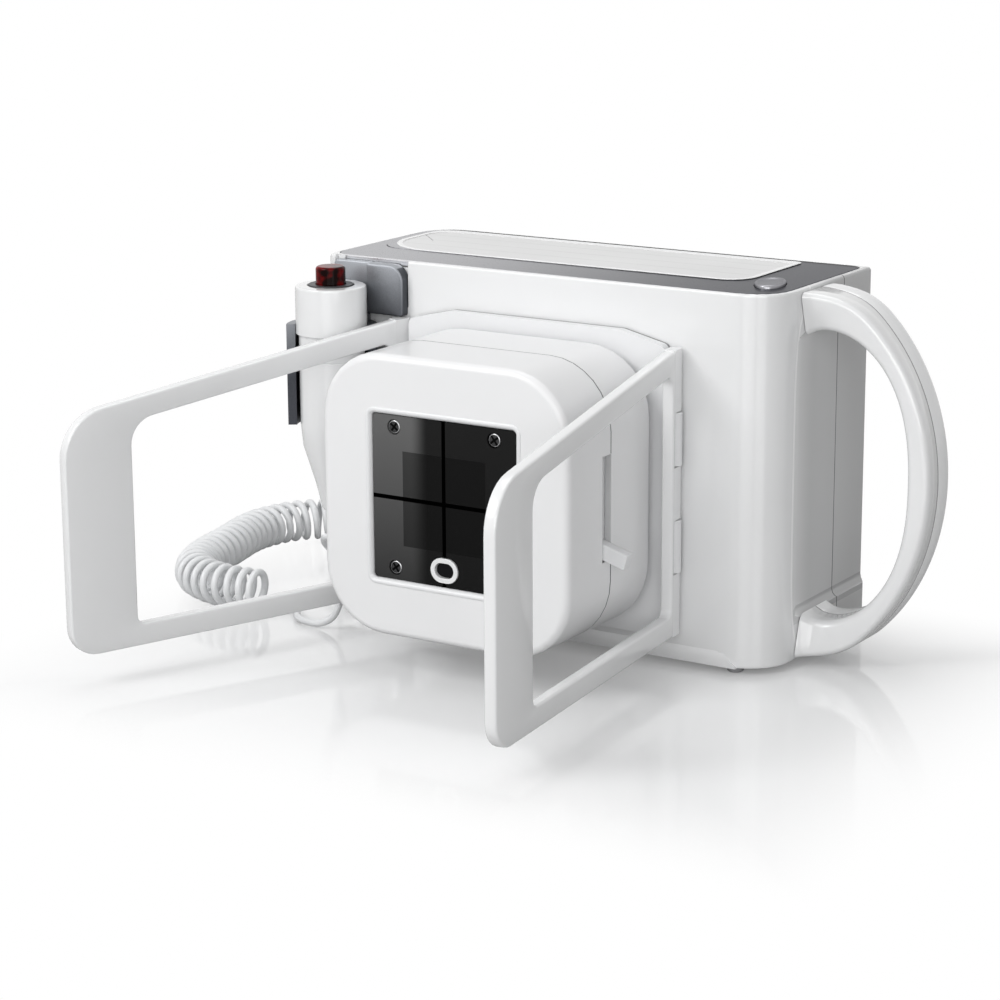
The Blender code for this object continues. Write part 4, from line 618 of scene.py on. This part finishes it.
edge_turn = np.radians(np.linspace(0, 90, 4))
draw_in = FRAME_ROUND * (1 - np.cos(edge_turn))
stand_out = FRAME_HALF - FRAME_ROUND + FRAME_ROUND * np.sin(edge_turn)
frame_section = [(-d, w, False) for d, w in zip(draw_in, stand_out)]
frame_section += [(d, w, True) for d, w in zip(draw_in[::-1], stand_out[::-1])]
frame_section += [(d, -w, opening) for d, w, opening in frame_section[::-1]]
lug_plan = box_loop((-0.0026, -FRAME_HALF), (0.0046, FRAME_HALF), (0.0015, 0.0002, 0.0002, 0.0015))
lug_spans = ((-0.0564, -0.0322), (-0.0110, 0.0094), (0.0306, 0.0543))
for name, side, splay in (("right", 1, math.radians(4.9)), ("left", -1, math.radians(-22.9))):
    plate_rings = []
    for grow, across, opening in frame_section:
        plan = frame_outline(grow, opening)
        plate_rings.append(on_hinge(side, splay, plan[:, 0], across, plan[:, 1]))
    plate = skin(f"frame_plate_{name}", [plate_rings], frame_white, f"spacer_{name}", True)
    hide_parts(f"spacer_frame_{name}")
    lugs = [[on_hinge(side, splay, *lug_plan.T, BEAM_Z + z) for z in span] for span in lug_spans]
    skin(f"frame_lugs_{name}", lugs, frame_white, f"spacer_{name}")


# Collimator: two satin moulded covers that meet at the lever's slot, on a collar painted dark grey for the shade it
# sits in.
# Inside, a steel ring turned by the lever draws four dark shutter blades in along a dark aperture plate. A white
# liner closes the slot behind the lever.
joint_white = moulded_white("joint_white", (0.85, 0.853, 0.86), 0.34, 0.25, joint=-0.0390, slot=0.0203)
dress(joint_white, 0.0, "collimator_front_cover", "collimator_rear_cover")
dress(cover_white, 0.0003, "field_lever")
dark_plastic = grained("dark_plastic", (0.030, 0.030, 0.033), 0.34, 0.15, 700.0, 3.0, raised=0.12)
# Painted shade: the collar is coloured dark grey for the shade between the covers and the mount.
collar_painted_shade = grained("collar_painted_shade", (0.15, 0.15, 0.155), 0.42, 0.16, 900.0, 3.0)
dress(collar_painted_shade, 0.0, "collimator_collar")
dress(dark_plastic, 0.0, "aperture_plate", "shutter_right", "shutter_left", "shutter_top", "shutter_bottom")
dress(bright_steel, 0.0, "cam_ring")
liner = box_loop((0.0480, BEAM_Z - 0.0240), (0.0514, BEAM_Z + 0.0240), (0.0005,) * 4)
liner_rings = [np.insert(liner, 1, y, axis=1) for y in (-0.0397, -0.0373)]
skin("slot_liner", [liner_rings], cover_white, "unit")


# Window: a sheet of dark acrylic whose colour carries a painted reflection, lighter on its left side and towards its
# top, with the square of the field painted darker on it as the shade behind, and two crossing black sight lines. Four
# small cross-slotted steel screws, their slots painted near-black as shade, hold it inside a white lip, and a
# white-rimmed port with a black lens is set in its lower edge.
acrylic, acrylic_shader, acrylic_where = finish("dark_acrylic", (0.02, 0.02, 0.02), 0.04, Specular_IOR_Level=0.12)
smears = noise(acrylic_where, 60.0, 4.0)
(smears * 0.05 + 0.02).into(acrylic_shader.inputs["Roughness"])
window_x, _, window_z = axes(acrylic_where)
off_x, off_z = abs(window_x - BEAM_X), abs(window_z - BEAM_Z)
# Painted reflection: the acrylic's colour is lighter on its left side and towards its top; painted shade darkens the
# square of the field behind it.
painted_reflection_left = ramp(window_x, BEAM_X - 0.0150, BEAM_X - 0.0070, 1.0, 0.05, "SMOOTHSTEP")
height = ramp(window_z, BEAM_Z - 0.0315, BEAM_Z + 0.0315, 0.030, 0.125)
field_painted_shade = off_x.maths("MAXIMUM", off_x, off_z) < 0.0182
acrylic_painted_light = (painted_reflection_left * height + 0.004) * (1.0 - field_painted_shade * 0.62)
acrylic_tone = acrylic_where.node("CombineColor", None, {k: acrylic_painted_light for k in range(3)})
acrylic_tone.into(acrylic_shader.inputs["Base Color"])
sight = off_x.maths("MAXIMUM", off_x < 0.0008, off_z < 0.0008)
ink = acrylic_where.node("BsdfPrincipled", None, {"Base Color": (0.0005, 0.0005, 0.0005, 1.0), "Roughness": 0.5,
                                                  "Specular IOR Level": 0.0})
surface(acrylic, sight.node("MixShader", None, {0: sight, 1: Value(acrylic_shader.outputs[0]), 2: ink}))
dress(acrylic, 0.0004, "window")
lip_profile = ((0.0340, -0.0690), (0.0340, -0.0694), (0.0337, -0.06965), (0.0331, -0.0697), (0.0326, -0.0695),
               (0.0319, -0.0686), (0.0317, -0.0680), (0.0318, -0.0676), (0.0322, -0.0680))
lip_rings = [np.insert(box_loop((-h, BEAM_Z - h), (h, BEAM_Z + h), (h - 0.0302,) * 4), 1, y, axis=1)
             for h, y in lip_profile]
skin("window_lip", [lip_rings], cover_white, "unit", True)
screw_steel, screw_shader, screw_where = finish("screw_steel", (0.30, 0.30, 0.31), 0.28, Metallic=1.0)
screw_x, _, screw_z = axes(screw_where)
beside, above = abs(screw_x - BEAM_X) - 0.0220, abs(screw_z - BEAM_Z) - 0.0270
# Painted shade: the cross slots are painted near-black, as the shade inside them.
one_way, other_way = abs(beside * 0.8 + above * 0.6) < 0.00042, abs(above * 0.8 - beside * 0.6) < 0.00042
slot_painted_shade = one_way.maths("MAXIMUM", one_way, other_way)
rim = (beside * beside + above * above) > 0.0000046
head = mixed(rim, (0.07, 0.07, 0.072), (0.50, 0.50, 0.51))
mixed(slot_painted_shade * (1.0 - rim), head, (0.004, 0.004, 0.004)).into(screw_shader.inputs["Base Color"])
dress(screw_steel, 0.0002, "window_screw_1", "window_screw_2", "window_screw_3", "window_screw_4")
dress(housing_white, 0.0005, "port_bezel")
lens_black = grained("port_lens_black", (0.004, 0.004, 0.005), 0.05, 0.06, 300.0, 2.0, Specular_IOR_Level=0.12)
dress(lens_black, 0.0, "port_lens")


# Mirror and lamp: a silvered plate stands at a slant in the beam behind the shutters and throws the light of
# a small ivory lamp along it, so that the field shows as a lit square. Both sit on the aperture plate.
silvered = grained("silvered", (0.85, 0.85, 0.86), 0.0, 0.08, 200.0, 4.0, Metallic=1.0)
dress(silvered, 0.0, "mirror")
lamp_ivory = grained("lamp_ivory", (0.75, 0.74, 0.68), 0.3, 0.1, 400.0, 2.0)
dress(lamp_ivory, 0.0, "lamp")


# Switch cradle: a blue-grey lacquered metal plate let into the housing's front. Its colour carries painted light,
# lighter towards its upper end, where it stands proud, and painted shade on the side wall at that end's right. A
# spring clip of the same sheet wraps round the hand switch.
cradle_blue, cradle_shader, cradle_where, cradle_flakes = lacquer("cradle_blue", (0.2, 0.21, 0.23), 0.48, 1.0)
cradle_x, cradle_y, cradle_z = axes(cradle_where)
# Painted light: the plate's colour runs lighter towards its upper left; painted shade darkens the side wall at the
# right end of its raised part.
painted_light_falloff = ramp(cradle_z - (cradle_x - BEAM_X) * 0.5, 0.185, 0.150)
cradle_painted_light = shaded(cradle_where, cradle_flakes, painted_light_falloff, (0.36, 0.375, 0.40), (0.055, 0.058, 0.068))
side_wall_painted_shade = (cradle_x > BEAM_X - 0.0640) * (cradle_y > FRONT_Y - 0.0033)
mixed(side_wall_painted_shade, cradle_painted_light, (0.085, 0.09, 0.10)).into(cradle_shader.inputs["Base Color"])
plate_profile = ((0.0, 0.0012), (0.0, -0.0010), (0.00015, -0.00135), (0.0005, -0.0015))
raised_profile = ((0.0, 0.0012), (0.0, -0.0034), (0.00015, -0.0038), (0.0006, -0.0040))
plates = []
for low, high, radii, profile in (
        ((-0.0955, 0.1244), (-0.0780, 0.1444), (0.0010, 0.0010, 0.0010, 0.0020), plate_profile),
        ((-0.0782, 0.1244), (-0.0612, 0.1444), (0.0010, 0.0010, 0.0065, 0.0010), raised_profile),
        ((-0.0955, 0.0725), (-0.0800, 0.1238), (0.0030, 0.0030, 0.0010, 0.0010), plate_profile)):
    plates.append([np.insert(box_loop(low, high, radii, inset), 1, y, axis=1) for inset, y in profile])
wrap = np.radians(np.linspace(-122, 62, 30))
clip_plan = np.concatenate([np.column_stack((SWITCH_END[0] + r * np.sin(t), SWITCH_END[1] + r * np.cos(t)))
                            for r, t in ((0.0180, wrap), (0.0145, wrap[::-1]))])
clip = [np.insert(clip_plan, 2, z, axis=1) for z in (0.0805, 0.1212)]
cradle = skin("cradle", [*plates, clip], cradle_blue, "unit")
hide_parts("switch_cradle")


# Hand switch: a glossy white moulded grip and cap, a black collar and a deep red see-through button that is
# pressed for the exposure. A satin strain relief guards the cord at its tip.
dress(housing_white, 0.0, "switch_body", "switch_cap")
dress(dark_plastic, 0.0, "switch_collar")
red_button, red_shader, red_where = finish("red_button", (0.06, 0.001, 0.001), 0.06, Specular_IOR_Level=0.08)
(noise(red_where, 250.0, 4.0) * 0.08 + 0.03).into(red_shader.inputs["Roughness"])
# Painted glints: noise brightens patches of the red, standing in for light caught in the see-through button.
depth = ramp(noise(red_where, 190.0, 1.0), 0.42, 0.66)
mixed(depth, (0.006, 0.0005, 0.0005), (0.20, 0.002, 0.003)).into(red_shader.inputs["Base Color"])
dress(red_button, 0.0004, "exposure_button")
dress(cover_white, 0.0, "switch_strain_relief")


# Plug and socket: a satin white moulded plug on the cord's lead, pushed into a black socket that is set in
# the housing's end.
dress(cover_white, 0.0, "cord_plug")
dress(dark_plastic, 0.0, "cord_socket")


# Inside the housing: the tube head is a bare metal tank round the glass X-ray tube, behind the collimator.
# Beside it are a black battery pack and a green lacquered control board.
tank_metal = grained("tank_metal", (0.62, 0.62, 0.63), 0.28, 0.2, 500.0, 3.0, Metallic=1.0)
dress(tank_metal, 0.0, "tube_head")
tube_glass = grained("tube_glass", (0.90, 0.92, 0.92), 0.0, 0.06, 120.0, 2.0, IOR=1.48, Transmission_Weight=0.9)
dress(tube_glass, 0.0, "xray_tube")
dress(dark_plastic, 0.0, "battery_pack")
board_green, board_shader, board_where = finish("board_green", (0.015, 0.13, 0.06), 0.4)
board_weave = board_where.node("TexVoronoi", None, {"Vector": board_where, "Scale": 500.0})
(board_weave * 0.3 + 0.3).into(board_shader.inputs["Roughness"])
dress(board_green, 0.0, "control_board")
